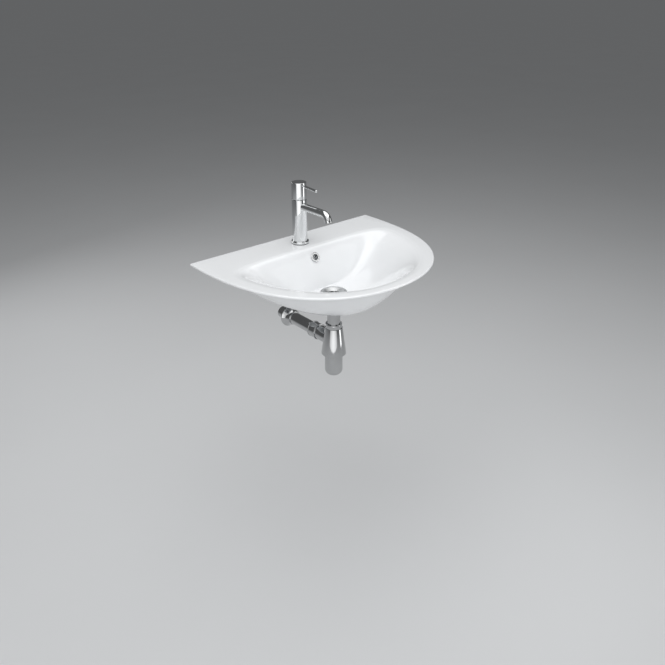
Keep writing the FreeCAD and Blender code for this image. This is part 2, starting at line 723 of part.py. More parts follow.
def make_tap_body():
    body = new_body("tap_body")
    shank = size.shank_diameter / 2
    seat = size.cartridge_seat
    bore = size.cartridge_diameter / 2 + size.fit_clearance
    thread = size.bonnet_diameter / 2 + size.fit_clearance
    shoulder = size.tap_height - size.bonnet_thread - size.cartridge_flange_height
    foot = -size.shank_reach
    turn(body, [
        (ZERO, foot),
        (shank, foot),
        (shank, foot_top),
        (tap_radius, foot_top),
        (tap_radius, size.tap_height),
        (thread, size.tap_height),
        (thread, shoulder),
        (bore, shoulder),
        (bore, seat),
        (ZERO, seat),
    ])
    socket = new_sketch(body, "XZ_Plane")
    add_circle(socket, ZERO, size.spout_height, size.spout_diameter / 2 + size.fit_clearance)
    extrude(body, socket, tap_radius + size.overrun, cut=True, reverse=True)
    inlets = new_sketch(body, "XY_Plane", offset=foot)
    passages = new_sketch(body, "XY_Plane", offset=foot)
    for x in (-(size.inlet_spread / 2), size.inlet_spread / 2):
        add_circle(inlets, x, -size.inlet_forward, size.inlet_thread / 2)
        add_circle(passages, x, -size.inlet_forward, size.passage_bore / 2)
    extrude(body, inlets, size.inlet_depth, cut=True, reverse=True)
    extrude(body, passages, seat + size.shank_reach, cut=True, reverse=True)
    stud_hole = new_sketch(body, "XY_Plane", offset=foot)
    add_circle(stud_hole, ZERO, size.stud_back, size.stud_diameter / 2 + size.fit_clearance)
    extrude(body, stud_hole, size.stud_engagement, cut=True, reverse=True)
    place(body, y=-size.tap_setback, z=deck)
    return body


def make_spout_tube():
    """A straight run along -Y, a bend down and a short straight tip, as one pipe."""
    body = new_body("spout_tube")
    bend = size.spout_bend_radius
    bend_start = -(size.spout_reach - cosine(size.spout_angle, size.spout_tip) - sine(size.spout_angle, bend))
    bend_end_drop = spout_drop - sine(size.spout_angle, size.spout_tip)
    places = [
        (-(tap_radius - size.spout_seat), ZERO),
        (bend_start, ZERO),
        (-(size.spout_reach - cosine(size.spout_angle, size.spout_tip)), -bend_end_drop),
        (-size.spout_reach, -spout_drop),
    ]
    corners = [FreeCAD.Vector(y.number, z.number, 0) for y, z in places]
    path = new_sketch(body, "YZ_Plane")
    run = path.addGeometry(Part.LineSegment(corners[0], corners[1]))
    arc = path.addGeometry(arc_between(corners[1], corners[2], bend.number, True))
    tip = path.addGeometry(Part.LineSegment(corners[2], corners[3]))
    path.addConstraint(Sketcher.Constraint("Coincident", run, 2, arc, 1))
    path.addConstraint(Sketcher.Constraint("Coincident", arc, 2, tip, 1))
    fix_point(path, run, 1, places[0])
    fix_point(path, run, 2, places[1])
    fix_point(path, tip, 1, places[2])
    fix_point(path, tip, 2, places[3])
    fix_radius(path, arc, bend)
    section = new_sketch(body, "XZ_Plane", offset=tap_radius - size.spout_seat)
    add_circle(section, ZERO, ZERO, size.spout_diameter / 2)
    add_circle(section, ZERO, ZERO, size.spout_bore / 2)
    pipe = body.newObject("PartDesign::AdditivePipe", "spout_pipe")
    pipe.Profile = section
    pipe.Spine = path
    place(body, y=-size.tap_setback, z=deck + size.spout_height)
    return body


def spout_mouth(inside):
    """Where a point inside the spout's mouth lies, and the tilt that points a piece's Z axis up the tube."""
    turned = size.spout_angle
    y = -size.tap_setback - size.spout_reach + cosine(turned, inside)
    z = deck + size.spout_height - spout_drop + sine(turned, inside)
    return {"y": y, "z": z, "tilt": turned - RIGHT_ANGLE}


def make_aerator_ring():
    outer = size.spout_bore / 2 - size.fit_clearance
    body = ring("aerator_ring", outer - size.aerator_wall, outer, size.aerator_height)
    place(body, **spout_mouth(size.aerator_recess))
    return body


def make_aerator_screen():
    body = new_body("aerator_screen")
    disc = new_sketch(body, "XY_Plane")
    add_circle(disc, ZERO, ZERO, size.spout_bore / 2 - size.aerator_wall - size.fit_clearance * 2)
    extrude(body, disc, size.screen_height)
    holes = new_sketch(body, "XY_Plane")
    add_circle(holes, ZERO, ZERO, size.screen_hole / 2)
    for step in range(SCREEN_HOLES):
        angle = Size(360 * step / SCREEN_HOLES, str(360 * step / SCREEN_HOLES))
        x = cosine(angle, size.screen_ring_radius)
        y = sine(angle, size.screen_ring_radius)
        add_circle(holes, x, y, size.screen_hole / 2)
    extrude(body, holes, size.screen_height, cut=True, reverse=True)
    place(body, **spout_mouth(size.aerator_recess + size.fit_clearance))
    return body


def make_fixing_stud():
    body = new_body("fixing_stud")
    radius = size.stud_diameter / 2
    turn(body, [(ZERO, -size.stud_length), (radius, -size.stud_length), (radius, ZERO), (ZERO, ZERO)])
    place(body, y=-size.tap_setback + size.stud_back, z=deck - size.shank_reach + size.stud_engagement)
    return body


def horseshoe(name, height):
    """A round plate with a wide slot for the hoses and a hole for the stud."""
    body = new_body(name)
    disc = new_sketch(body, "XY_Plane")
    add_circle(disc, ZERO, ZERO, size.clamp_diameter / 2)
    extrude(body, disc, height)
    slot = new_sketch(body, "XY_Plane")
    half = size.clamp_gap / 2
    middle = size.clamp_gap_back - half
    front = -(size.clamp_diameter / 2) - size.overrun
    add_outline(slot, [
        (-half, front),
        (half, front),
        (half, middle, half, "left"),
        (ZERO, size.clamp_gap_back, half, "left"),
        (-half, middle),
    ])
    extrude(body, slot, height, cut=True, reverse=True)
    stud_hole = new_sketch(body, "XY_Plane")
    add_circle(stud_hole, ZERO, size.stud_back, size.stud_diameter / 2 + size.fit_clearance)
    extrude(body, stud_hole, height, cut=True, reverse=True)
    return body


def make_fixing_gasket():
    body = horseshoe("fixing_gasket", size.clamp_gasket_height)
    place(body, y=-size.tap_setback, z=deck - size.deck_thickness - size.clamp_gasket_height)
    return body


def make_fixing_plate():
    body = horseshoe("fixing_plate", size.clamp_plate_height)
    stack = size.clamp_gasket_height + size.clamp_plate_height
    place(body, y=-size.tap_setback, z=deck - size.deck_thickness - stack)
    return body


def make_fixing_nut():
    body = new_body("fixing_nut")
    outline = new_sketch(body, "XY_Plane")
    add_outline(outline, hexagon(size.clamp_nut_flats))
    add_circle(outline, ZERO, ZERO, size.stud_diameter / 2 + size.fit_clearance)
    extrude(body, outline, size.clamp_nut_height)
    stack = size.clamp_gasket_height + size.clamp_plate_height + size.clamp_nut_height
    place(body, y=-size.tap_setback + size.stud_back, z=deck - size.deck_thickness - stack)
    return body


# Tap, cartridge

def make_cartridge_housing():
    body = new_body("cartridge_housing")
    outer = size.cartridge_diameter / 2
    bore = outer - size.cartridge_wall
    flange = size.cartridge_flange_diameter / 2
    neck = size.cartridge_neck_diameter / 2
    neck_bore = size.rotor_diameter / 2 + size.running_clearance
    flange_top = size.tap_height - size.bonnet_thread
    flange_foot = flange_top - size.cartridge_flange_height
    top = flange_top + size.cartridge_neck_height
    turn(body, [
        (bore, size.cartridge_seat),
        (outer, size.cartridge_seat),
        (outer, flange_foot),
        (flange, flange_foot),
        (flange, flange_top),
        (neck, flange_top),
        (neck, top),
        (neck_bore, top),
        (neck_bore, flange_top),
        (bore, flange_top),
    ])
    place(body, y=-size.tap_setback, z=deck)
    return body


def ported_disc(name, radius, height):
    """A disc with two inlet ports at the back and one outlet port at the front."""
    body = new_body(name)
    disc = new_sketch(body, "XY_Plane")
    add_circle(disc, ZERO, ZERO, radius)
    port = size.disc_port / 2
    circle = size.disc_port_circle
    for degrees in (30, 150, 270):
        angle = Size(degrees, str(degrees))
        x = ZERO if degrees == 270 else cosine(angle, circle)
        add_circle(disc, x, sine(angle, circle), port)
    extrude(body, disc, height)
    return body


def make_cartridge_base():
    bore = size.cartridge_diameter / 2 - size.cartridge_wall
    height = moving_disc_foot - size.disc_film - size.disc_height - size.cartridge_seat
    body = ported_disc("cartridge_base", bore - size.fit_clearance, height)
    place(body, y=-size.tap_setback, z=deck + size.cartridge_seat)
    return body


def make_fixed_disc():
    bore = size.cartridge_diameter / 2 - size.cartridge_wall
    body = ported_disc("fixed_disc", bore - size.fit_clearance, size.disc_height)
    place(body, y=-size.tap_setback, z=deck + moving_disc_foot - size.disc_film - size.disc_height)
    return body


def make_moving_disc():
    """The sliding disc, with a blind chamber in its underside that joins the ports."""
    body = new_body("moving_disc")
    radius = size.moving_disc_diameter / 2
    chamber = size.disc_port_circle
    turn(body, [
        (ZERO, size.disc_height / 2),
        (chamber, size.disc_height / 2),
        (chamber, ZERO),
        (radius, ZERO),
        (radius, size.disc_height),
        (ZERO, size.disc_height),
    ])
    place(body, y=-size.tap_setback + size.moving_disc_offset, z=deck + moving_disc_foot)
    return body


def make_disc_carrier():
    body = new_body("disc_carrier")
    disc = new_sketch(body, "XY_Plane")
    add_circle(disc, ZERO, ZERO, size.moving_disc_diameter / 2)
    extrude(body, disc, size.carrier_height)
    slot = new_sketch(body, "XY_Plane", offset=size.carrier_floor)
    half_width = size.carrier_slot_width / 2
    half_length = size.carrier_slot_length / 2
    middle = -size.moving_disc_offset
    add_outline(slot, box_outline(-half_width, half_width, middle - half_length, middle + half_length))
    extrude(body, slot, size.carrier_height, cut=True, reverse=True)
    place(body, y=-size.tap_setback + size.moving_disc_offset, z=deck + moving_disc_foot + size.disc_height)
    return body


def make_bonnet_nut():
    """A ring nut whose top is part of a sphere about the lever's pivot."""
    body = new_body("bonnet_nut")
    dome = size.bonnet_diameter / 2
    hole = size.cartridge_neck_diameter / 2 + size.fit_clearance
    dome_foot = across(dome, size.pivot_depth)
    dome_top = across(dome, hole) - size.pivot_depth
    turn(body, [
        (hole, -size.bonnet_thread),
        (dome, -size.bonnet_thread),
        (dome, -size.pivot_depth, dome, "left"),
        (dome_foot, ZERO, dome, "left"),
        (hole, dome_top),
    ])
    place(body, y=-size.tap_setback, z=deck + size.tap_height)
    return body


def make_cartridge_rotor():
    body = new_body("cartridge_rotor")
    upper = size.rotor_diameter / 2
    flange = size.rotor_flange_diameter / 2
    flange_top = size.pivot_depth - size.bonnet_thread - size.moving_clearance
    flange_foot = flange_top - size.rotor_flange_height
    turn(body, [
        (ZERO, flange_foot),
        (flange, flange_foot),
        (flange, flange_top),
        (upper, flange_top),
        (upper, size.rotor_above_pivot),
        (ZERO, size.rotor_above_pivot),
    ])
    slot = new_sketch(body, "XY_Plane")
    half_width = size.rotor_slot_width / 2
    half_length = size.rotor_slot_length / 2
    add_outline(slot, box_outline(-half_width, half_width, -half_length, half_length))
    extrude(body, slot, size.rotor_diameter * 2, cut=True, both=True)
    pin_hole = new_sketch(body, "YZ_Plane")
    add_circle(pin_hole, ZERO, ZERO, size.pivot_pin_diameter / 2)
    extrude(body, pin_hole, size.rotor_diameter + size.overrun, cut=True, both=True)
    place(body, y=-size.tap_setback, z=deck + pivot_height)
    return body


def make_pivot_pin():
    body = new_body("pivot_pin")
    section = new_sketch(body, "YZ_Plane")
    add_circle(section, ZERO, ZERO, size.pivot_pin_diameter / 2)
    extrude(body, section, size.rotor_diameter - size.moving_clearance * 2, both=True)
    place(body, y=-size.tap_setback, z=deck + pivot_height)
    return body


def make_spindle():
    """A square spindle with a round tongue below the pivot."""
    body = new_body("spindle")
    half = size.spindle_width / 2
    root = -size.tongue_root
    top = cap_foot - pivot_height + size.handle_cavity + size.handle_socket - size.moving_clearance
    square = new_sketch(body, "XY_Plane", offset=root)
    add_outline(square, box_outline(-half, half, -half, half))
    extrude(body, square, top + size.tongue_root)
    tongue = size.spindle_tongue / 2
    tip = -(size.spindle_arm + size.tongue_tip)
    turn(body, [
        (ZERO, tip),
        (tongue / 2, tip),
        (tongue, -size.spindle_arm),
        (tongue, root),
        (ZERO, root),
    ])
    pin_hole = new_sketch(body, "YZ_Plane")
    add_circle(pin_hole, ZERO, ZERO, size.pivot_pin_diameter / 2 + size.running_clearance)
    extrude(body, pin_hole, size.spindle_width + size.overrun, cut=True, both=True)
    place(body, y=-size.tap_setback, z=deck + pivot_height)
    return body


# Tap, handle

def rod_root():
    """Where the lever rod's axis meets the cap's side, above the cap's foot."""
    return size.handle_height - size.rod_below_top


def make_handle_cap():
    """A cap with a cavity over the bonnet, a socket for the spindle and a relief behind for the lift."""
    blank = new_body("cap_blank")
    edge = size.handle_round
    turn(blank, [
        (ZERO, ZERO),
        (tap_radius, ZERO),
        (tap_radius, size.handle_height - edge, edge, "left"),
        (tap_radius - edge, size.handle_height),
        (ZERO, size.handle_height),
    ])
    cavity = new_sketch(blank, "XY_Plane")
    add_circle(cavity, ZERO, ZERO, size.handle_bore / 2)
    extrude(blank, cavity, size.handle_cavity, cut=True, reverse=True)
    socket = new_sketch(blank, "XY_Plane")
    half = size.spindle_width / 2 + size.fit_clearance
    add_outline(socket, box_outline(-half, half, -half, half))
    extrude(blank, socket, size.handle_cavity + size.handle_socket, cut=True, reverse=True)
    relief = new_sketch(blank, "YZ_Plane")
    behind = tap_radius + size.overrun
    add_outline(relief, [(ZERO, ZERO), (behind, ZERO), (behind, tangent(size.lift_angle, behind))])
    extrude(blank, relief, size.tap_diameter + size.overrun, cut=True, both=True)
    grub_hole = new_sketch(blank, "XZ_Plane")
    add_circle(grub_hole, ZERO, size.handle_cavity + size.grub_above_cavity, size.grub_diameter / 2)
    extrude(blank, grub_hole, tap_radius + size.overrun, cut=True)
    place(blank, y=-size.tap_setback, z=deck + cap_foot)
    spigot = drill("rod_hole_cut", size.rod_spigot_diameter / 2 + size.fit_clearance,
                   size.rod_spigot_length + size.overrun + size.rod_stand, **rod_place(size.overrun))
    return cut_away("handle_cap", blank, [spigot])


def rod_place(outside):
    """A point on the rod's axis outside the cap, with the tilt that points Z along the rod into the cap."""
    droop = size.rod_droop
    away = tap_radius + cosine(droop, outside)
    z = deck + cap_foot + rod_root() - sine(droop, outside)
    return {"y": -size.tap_setback - away, "z": z, "tilt": -(RIGHT_ANGLE - droop)}


def make_lever_rod():
    body = new_body("lever_rod")
    radius = size.rod_diameter / 2
    spigot = size.rod_spigot_diameter / 2
    shoulder = -size.rod_stand
    turn(body, [
        (ZERO, -size.rod_length, radius, "left"),
        (radius, radius - size.rod_length),
        (radius, shoulder),
        (spigot, shoulder),
        (spigot, size.rod_spigot_length - size.moving_clearance),
        (ZERO, size.rod_spigot_length - size.moving_clearance),
    ])
    place(body, **rod_place(ZERO))
    return body


def make_grub_screw():
    """Its foot presses on the spindle's back face."""
    body = new_body("grub_screw")
    radius = size.grub_diameter / 2 - size.fit_clearance
    turn(body, [(ZERO, ZERO), (radius, ZERO), (radius, size.grub_length), (ZERO, size.grub_length)])
    key = new_sketch(body, "XY_Plane", offset=size.grub_length)
    add_outline(key, hexagon(size.grub_key))
    extrude(body, key, size.grub_key_depth, cut=True)
    place(body, y=-size.tap_setback + size.spindle_width / 2,
          z=deck + cap_foot + size.handle_cavity + size.grub_above_cavity, tilt=-RIGHT_ANGLE)
    return body


# Waste

def make_waste_body():
    """Flange with a conical dish, cross bars and a threaded tail with two overflow slots."""
    body = new_body("waste_body")
    flange = size.waste_flange_diameter / 2
    dish = size.waste_dish_diameter / 2
    bore = size.waste_bore / 2
    top = bowl_floor - size.waste_recess_depth + size.upper_seal_height + size.waste_flange_height
    foot = tail_foot - top
    hub = size.waste_hole / 2 - size.moving_clearance
    hub_foot = -(size.waste_dish_depth + size.waste_bar)
    turn(body, [
        (bore, foot),
        (tail_radius, foot),
        (tail_radius, hub_foot),
        (hub, hub_foot),
        (hub, -size.waste_flange_height),
        (flange, -size.waste_flange_height),
        (flange, -(size.waste_flange_height / 2), size.waste_flange_height / 2, "left"),
        (flange - size.waste_flange_height / 2, ZERO),
        (dish, ZERO),
        (bore, -size.waste_dish_depth),
    ])
    slots = new_sketch(body, "XZ_Plane")
    middle = (bowl_floor + keel) / 2 - top
    low = middle - size.waste_slot_height / 2
    high = middle + size.waste_slot_height / 2
    add_outline(slots, box_outline(-(size.waste_slot_width / 2), size.waste_slot_width / 2, low, high))
    extrude(body, slots, size.waste_tail_diameter + size.overrun, cut=True, both=True)
    bars = new_sketch(body, "XY_Plane", offset=hub_foot, spin=45)
    half = size.waste_bar / 2
    reach = bore + size.waste_bar / 2
    add_outline(bars, [
        (reach, -half), (reach, half), (half, half), (half, reach), (-half, reach), (-half, half),
        (-reach, half), (-reach, -half), (-half, -half), (-half, -reach), (half, -reach), (half, -half),
    ])
    extrude(body, bars, size.waste_bar)
    place(body, y=-size.drain_setback, z=top)
    return body


def make_waste_upper_seal():
    body = ring("waste_upper_seal", size.waste_hole / 2, size.waste_flange_diameter / 2, size.upper_seal_height)
    place(body, y=-size.drain_setback, z=bowl_floor - size.waste_recess_depth)
    return body


def make_waste_lower_seal():
    body = ring("waste_lower_seal", tail_radius + size.fit_clearance, size.lower_seal_diameter / 2, size.lower_seal_height)
    place(body, y=-size.drain_setback, z=keel - size.lower_seal_height)
    return body


def make_waste_backnut():
    body = new_body("waste_backnut")
    outline = new_sketch(body, "XY_Plane")
    add_outline(outline, hexagon(size.backnut_flats))
    add_circle(outline, ZERO, ZERO, tail_radius + size.fit_clearance)
    extrude(body, outline, size.backnut_height)
    place(body, y=-size.drain_setback, z=keel - size.lower_seal_height - size.backnut_height)
    return body


# Trap

def make_inlet_nut():
    """A round union nut with grip ribs, which holds the tube's flange against the tail."""
    body = new_body("inlet_nut")
    outer = size.union_diameter / 2
    bore = tail_radius + size.fit_clearance
    lip_bore = pipe_radius + size.fit_clearance
    lip_top = tube_top - size.tube_flange_height
    top = keel - size.lower_seal_height - size.backnut_height - size.union_gap
    foot = lip_top - size.union_lip
    turn(body, [
        (lip_bore, ZERO),
        (outer, ZERO),
        (outer, top - foot),
        (bore, top - foot),
        (bore, size.union_lip),
        (lip_bore, size.union_lip),
    ])
    rib = new_sketch(body, "XY_Plane")
    add_circle(rib, outer, ZERO, size.union_rib)
    rib_pad = extrude(body, rib, top - foot)
    pattern = body.newObject("PartDesign::PolarPattern", "inlet_nut_ribs")
    pattern.Originals = [rib_pad]
    pattern.Axis = (rib, ["N_Axis"])
    pattern.Angle = 360
    pattern.Occurrences = UNION_RIBS
    body.Tip = pattern
    place(body, y=-size.drain_setback, z=foot)
    return body


def make_inlet_seal():
    body = ring("inlet_seal", size.waste_bore / 2, size.tube_flange_diameter / 2, size.inlet_seal_height)
    place(body, y=-size.drain_setback, z=tube_top)
    return body


def make_inlet_tube():
    """The tube from the union down into the trap's cup."""
    body = new_body("inlet_tube")
    bore = pipe_radius - size.pipe_wall
    flange = size.tube_flange_diameter / 2
    foot = cup_floor + size.dip_clearance - tube_top
    turn(body, [
        (bore, foot),
        (pipe_radius, foot),
        (pipe_radius, -size.tube_flange_height),
        (flange, -size.tube_flange_height),
        (flange, ZERO),
        (bore, ZERO),
    ])
    place(body, y=-size.drain_setback, z=tube_top)
    return body


def make_collar_nut():
    body = new_body("collar_nut")
    outer = size.collar_diameter / 2
    thread = size.neck_diameter / 2 + size.fit_clearance
    bore = pipe_radius + size.fit_clearance
    seal_top = size.neck_height + size.collar_seal_height
    top = seal_top + size.collar_lip
    edge = size.collar_lip / 2
    turn(body, [
        (thread, ZERO),
        (outer, ZERO),
        (outer, top - edge, edge, "left"),
        (outer - edge, top),
        (bore, top),
        (bore, seal_top),
        (thread, seal_top),
    ])
    place(body, y=-size.drain_setback, z=cone_top)
    return body


def make_collar_seal():
    body = ring("collar_seal", pipe_radius, size.neck_diameter / 2, size.collar_seal_height)
    place(body, y=-size.drain_setback, z=cone_top + size.neck_height)
    return body


def make_trap_body():
    """A hollow cone with a neck on top, a mouth for the cup below and an outlet boss behind."""
    body = new_body("trap_body")
    wall = size.trap_wall
    top = size.cone_top_diameter / 2
    base = size.cone_bottom_diameter / 2
    neck = size.neck_diameter / 2
    neck_bore = pipe_radius + size.fit_clearance
    foot = -size.cone_height
    turn(body, [
        (ZERO, foot),
        (base - wall / 2, foot, wall / 2, "left"),
        (base, foot + wall / 2),
        (top, ZERO),
        (neck, ZERO),
        (neck, size.neck_height),
        (ZERO, size.neck_height),
    ])
    outlet_height = -size.outlet_drop
    for radius, reach in (
        (size.boss_diameter / 2, size.boss_reach),
        (size.boss_thread_diameter / 2, size.boss_reach + size.boss_thread_length),
    ):
        boss = new_sketch(body, "XZ_Plane")
        add_circle(boss, ZERO, outlet_height, radius)
        extrude(body, boss, reach, reverse=True)
    mouth = size.cup_spigot_diameter / 2 + size.fit_clearance
    turn(body, [
        (ZERO, foot - size.overrun),
        (mouth, foot - size.overrun),
        (mouth, foot + wall),
        (base - wall, foot + wall),
        (top - wall, -wall),
        (neck_bore, -wall),
        (neck_bore, size.neck_height + size.overrun),
        (ZERO, size.neck_height + size.overrun),
    ], cut=True)
    bore = new_sketch(body, "XZ_Plane")
    add_circle(bore, ZERO, outlet_height, size.boss_bore / 2)
    extrude(body, bore, size.boss_reach, cut=True)
    boss_end = size.boss_reach + size.boss_thread_length
    socket = new_sketch(body, "XZ_Plane", offset=-boss_end)
    add_circle(socket, ZERO, outlet_height, pipe_radius + size.fit_clearance)
    extrude(body, socket, size.pipe_engagement, cut=True, reverse=True)
    place(body, y=-size.drain_setback, z=cone_top)
    return body


def make_trap_cup():
    body = new_body("trap_cup")
    outer = size.cup_diameter / 2
    spigot = size.cup_spigot_diameter / 2
    bore = spigot - size.trap_wall
    corner = size.cup_round
    foot = -size.cup_height
    inner_corner = corner - size.trap_wall
    inner_foot = cup_floor - cup_top
    turn(body, [
        (ZERO, foot),
        (outer - corner, foot, corner, "left"),
        (outer, foot + corner),
        (outer, ZERO),
        (spigot, ZERO),
        (spigot, size.cup_spigot_height),
        (bore, size.cup_spigot_height),
        (bore, inner_foot + inner_corner, inner_corner, "right"),
        (bore - inner_corner, inner_foot),
        (ZERO, inner_foot),
    ])
    place(body, y=-size.drain_setback, z=cup_top)
    return body


def make_cup_seal():
    inner = size.cup_spigot_diameter / 2 + size.fit_clearance
    body = ring("cup_seal", inner, size.cup_diameter / 2, size.cup_seal_height)
    place(body, y=-size.drain_setback, z=cup_top)
    return body


def along_outlet(piece, distance):
    """Turns a piece's Z axis towards the wall and puts it on the outlet's axis."""
    place(piece, y=-size.drain_setback + distance, z=outlet, tilt=-RIGHT_ANGLE)


def make_outlet_nut():
    body = new_body("outlet_nut")
    outer = size.outlet_nut_diameter / 2
    bead = outer + size.outlet_nut_bead
    width = size.outlet_nut_bead_width
    thread = size.boss_thread_diameter / 2 + size.fit_clearance
    bore = pipe_radius + size.fit_clearance
    seat = nut_seat - size.boss_reach
    end = seat + size.outlet_nut_lip
    turn(body, [
        (thread, ZERO),
        (bead, ZERO),
        (bead, width),
        (outer, width),
        (outer, end - width),
        (bead, end - width),
        (bead, end),
        (bore, end),
        (bore, seat),
        (thread, seat),
    ])
    along_outlet(body, size.boss_reach)
    return body


def make_outlet_seal():
    body = ring("outlet_seal", pipe_radius, size.boss_thread_diameter / 2, size.outlet_seal_height)
    along_outlet(body, size.boss_reach + size.boss_thread_length)
    return body


def make_outlet_pipe():
    start = size.boss_reach + size.boss_thread_length - size.pipe_engagement
    length = size.drain_setback + size.wall_stub - start
    bore = pipe_radius - size.pipe_wall
    bead = pipe_radius + size.pipe_bead_height
    at_wall = length - size.wall_stub
    body = new_body("outlet_pipe")
    turn(body, [
        (bore, ZERO),
        (pipe_radius, ZERO),
        (pipe_radius, at_wall - size.pipe_bead_width),
        (bead, at_wall - size.pipe_bead_width),
        (bead, at_wall),
        (pipe_radius, at_wall),
        (pipe_radius, length),
        (bore, length),
    ])
    along_outlet(body, start)
    return body


def make_wall_flange():
    """A thin bell round the pipe, widest at the wall."""
    body = new_body("wall_flange")
    thickness = size.wall_flange_thickness
    outer = size.wall_flange_diameter / 2
    neck = size.wall_flange_neck / 2
    bore = pipe_radius + size.fit_clearance
    depth = size.wall_flange_depth
    edge = depth - size.wall_flange_rim
    curve = size.wall_flange_curve
    turn(body, [
        (bore, ZERO),
        (neck, ZERO, curve, "right"),
        (outer, edge),
        (outer, depth),
        (outer - thickness, depth),
        (outer - thickness, edge + thickness / 2, curve + thickness, "left"),
        (neck - thickness, thickness),
        (bore, thickness),
    ])
    along_outlet(body, size.drain_setback - depth)
    return body


MAKERS = [
    make_basin, make_overflow_ring,
    make_base_gasket, make_base_ring, make_tap_body, make_spout_tube, make_aerator_ring, make_aerator_screen,
    make_fixing_stud, make_fixing_gasket, make_fixing_plate, make_fixing_nut,
    make_cartridge_housing, make_cartridge_base, make_fixed_disc, make_moving_disc, make_disc_carrier,
    make_bonnet_nut, make_cartridge_rotor, make_pivot_pin, make_spindle,
    make_handle_cap, make_lever_rod, make_grub_screw,
    make_waste_body, make_waste_upper_seal, make_waste_lower_seal, make_waste_backnut,
    make_inlet_nut, make_inlet_seal, make_inlet_tube, make_collar_nut, make_collar_seal,
    make_trap_body, make_trap_cup, make_cup_seal,
    make_outlet_nut, make_outlet_seal, make_outlet_pipe, make_wall_flange,
]

pieces = [make() for make in MAKERS]
doc.recompute()

for item in doc.Objects:
    if "Invalid" in item.State or "Error" in item.State:
        raise RuntimeError(f"{item.Label} failed: {item.State}")
for piece in pieces:
    if piece.Shape.isNull() or not piece.Shape.isValid() or not piece.Shape.Solids:
        raise RuntimeError(f"{piece.Label} has no valid solid")

os.makedirs("parts", exist_ok=True)
for piece in pieces:
    piece.Shape.exportStep(f"parts/{piece.Label}.step")
    print(f"{piece.Label}: {len(piece.Shape.Solids)} solid, {piece.Shape.Volume / 1000:.1f} cm3")
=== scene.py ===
"""Looks of a wall-hung washbasin with a single-lever tap, an open waste and a bottle trap.

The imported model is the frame: metres, +Z up, +Y into the wall, origin between the wall fixing holes.
"""

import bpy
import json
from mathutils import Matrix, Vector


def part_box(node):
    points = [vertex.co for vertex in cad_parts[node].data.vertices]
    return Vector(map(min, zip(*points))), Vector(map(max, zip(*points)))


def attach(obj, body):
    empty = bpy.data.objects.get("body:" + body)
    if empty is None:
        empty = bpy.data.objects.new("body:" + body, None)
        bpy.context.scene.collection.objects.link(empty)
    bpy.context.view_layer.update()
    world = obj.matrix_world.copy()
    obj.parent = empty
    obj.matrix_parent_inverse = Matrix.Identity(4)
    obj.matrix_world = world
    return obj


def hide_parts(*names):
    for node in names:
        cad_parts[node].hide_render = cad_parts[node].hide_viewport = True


bl_info = {
    "name": "Wall-hung washbasin",
    "version": (1, 0, 0),
    "blender": (4, 5, 0),
    "location": "View3D > Sidebar > Washbasin",
    "description": "Builds the glazed basin, its chrome tap, waste and trap, and a studio round them",
    "category": "Object",
}

import json
import math

import bmesh
import bpy
import numpy as np
from bpy.props import FloatProperty, FloatVectorProperty, IntProperty, PointerProperty
from mathutils import Matrix, Vector

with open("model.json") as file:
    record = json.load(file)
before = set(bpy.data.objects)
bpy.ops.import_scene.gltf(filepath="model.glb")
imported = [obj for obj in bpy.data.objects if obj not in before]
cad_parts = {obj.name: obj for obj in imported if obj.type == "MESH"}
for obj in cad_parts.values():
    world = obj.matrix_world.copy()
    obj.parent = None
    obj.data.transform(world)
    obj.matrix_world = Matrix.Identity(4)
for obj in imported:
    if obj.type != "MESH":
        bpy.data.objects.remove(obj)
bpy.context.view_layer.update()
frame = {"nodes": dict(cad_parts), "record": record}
MM = 0.001


# Sizes and colours a user would change

def length(default_mm, name, description):
    """A length property, written in millimetres."""
    return FloatProperty(name=name, description=description, default=default_mm * MM, min=0.0,
                         precision=4, subtype="DISTANCE", unit="LENGTH")


def angle(default_degrees, name, description):
    """An angle property, written in degrees."""
    return FloatProperty(name=name, description=description, default=math.radians(default_degrees),
                         subtype="ANGLE", unit="ROTATION")


def colour(default, name, description):
    """A colour property."""
    return FloatVectorProperty(name=name, description=description, default=default, size=3,
                               min=0.0, max=1.0, subtype="COLOR")


def power(default, name, description):
    """A lamp's power property, in watts."""
    return FloatProperty(name=name, description=description, default=default, min=0.0,
                         subtype="POWER", unit="POWER")


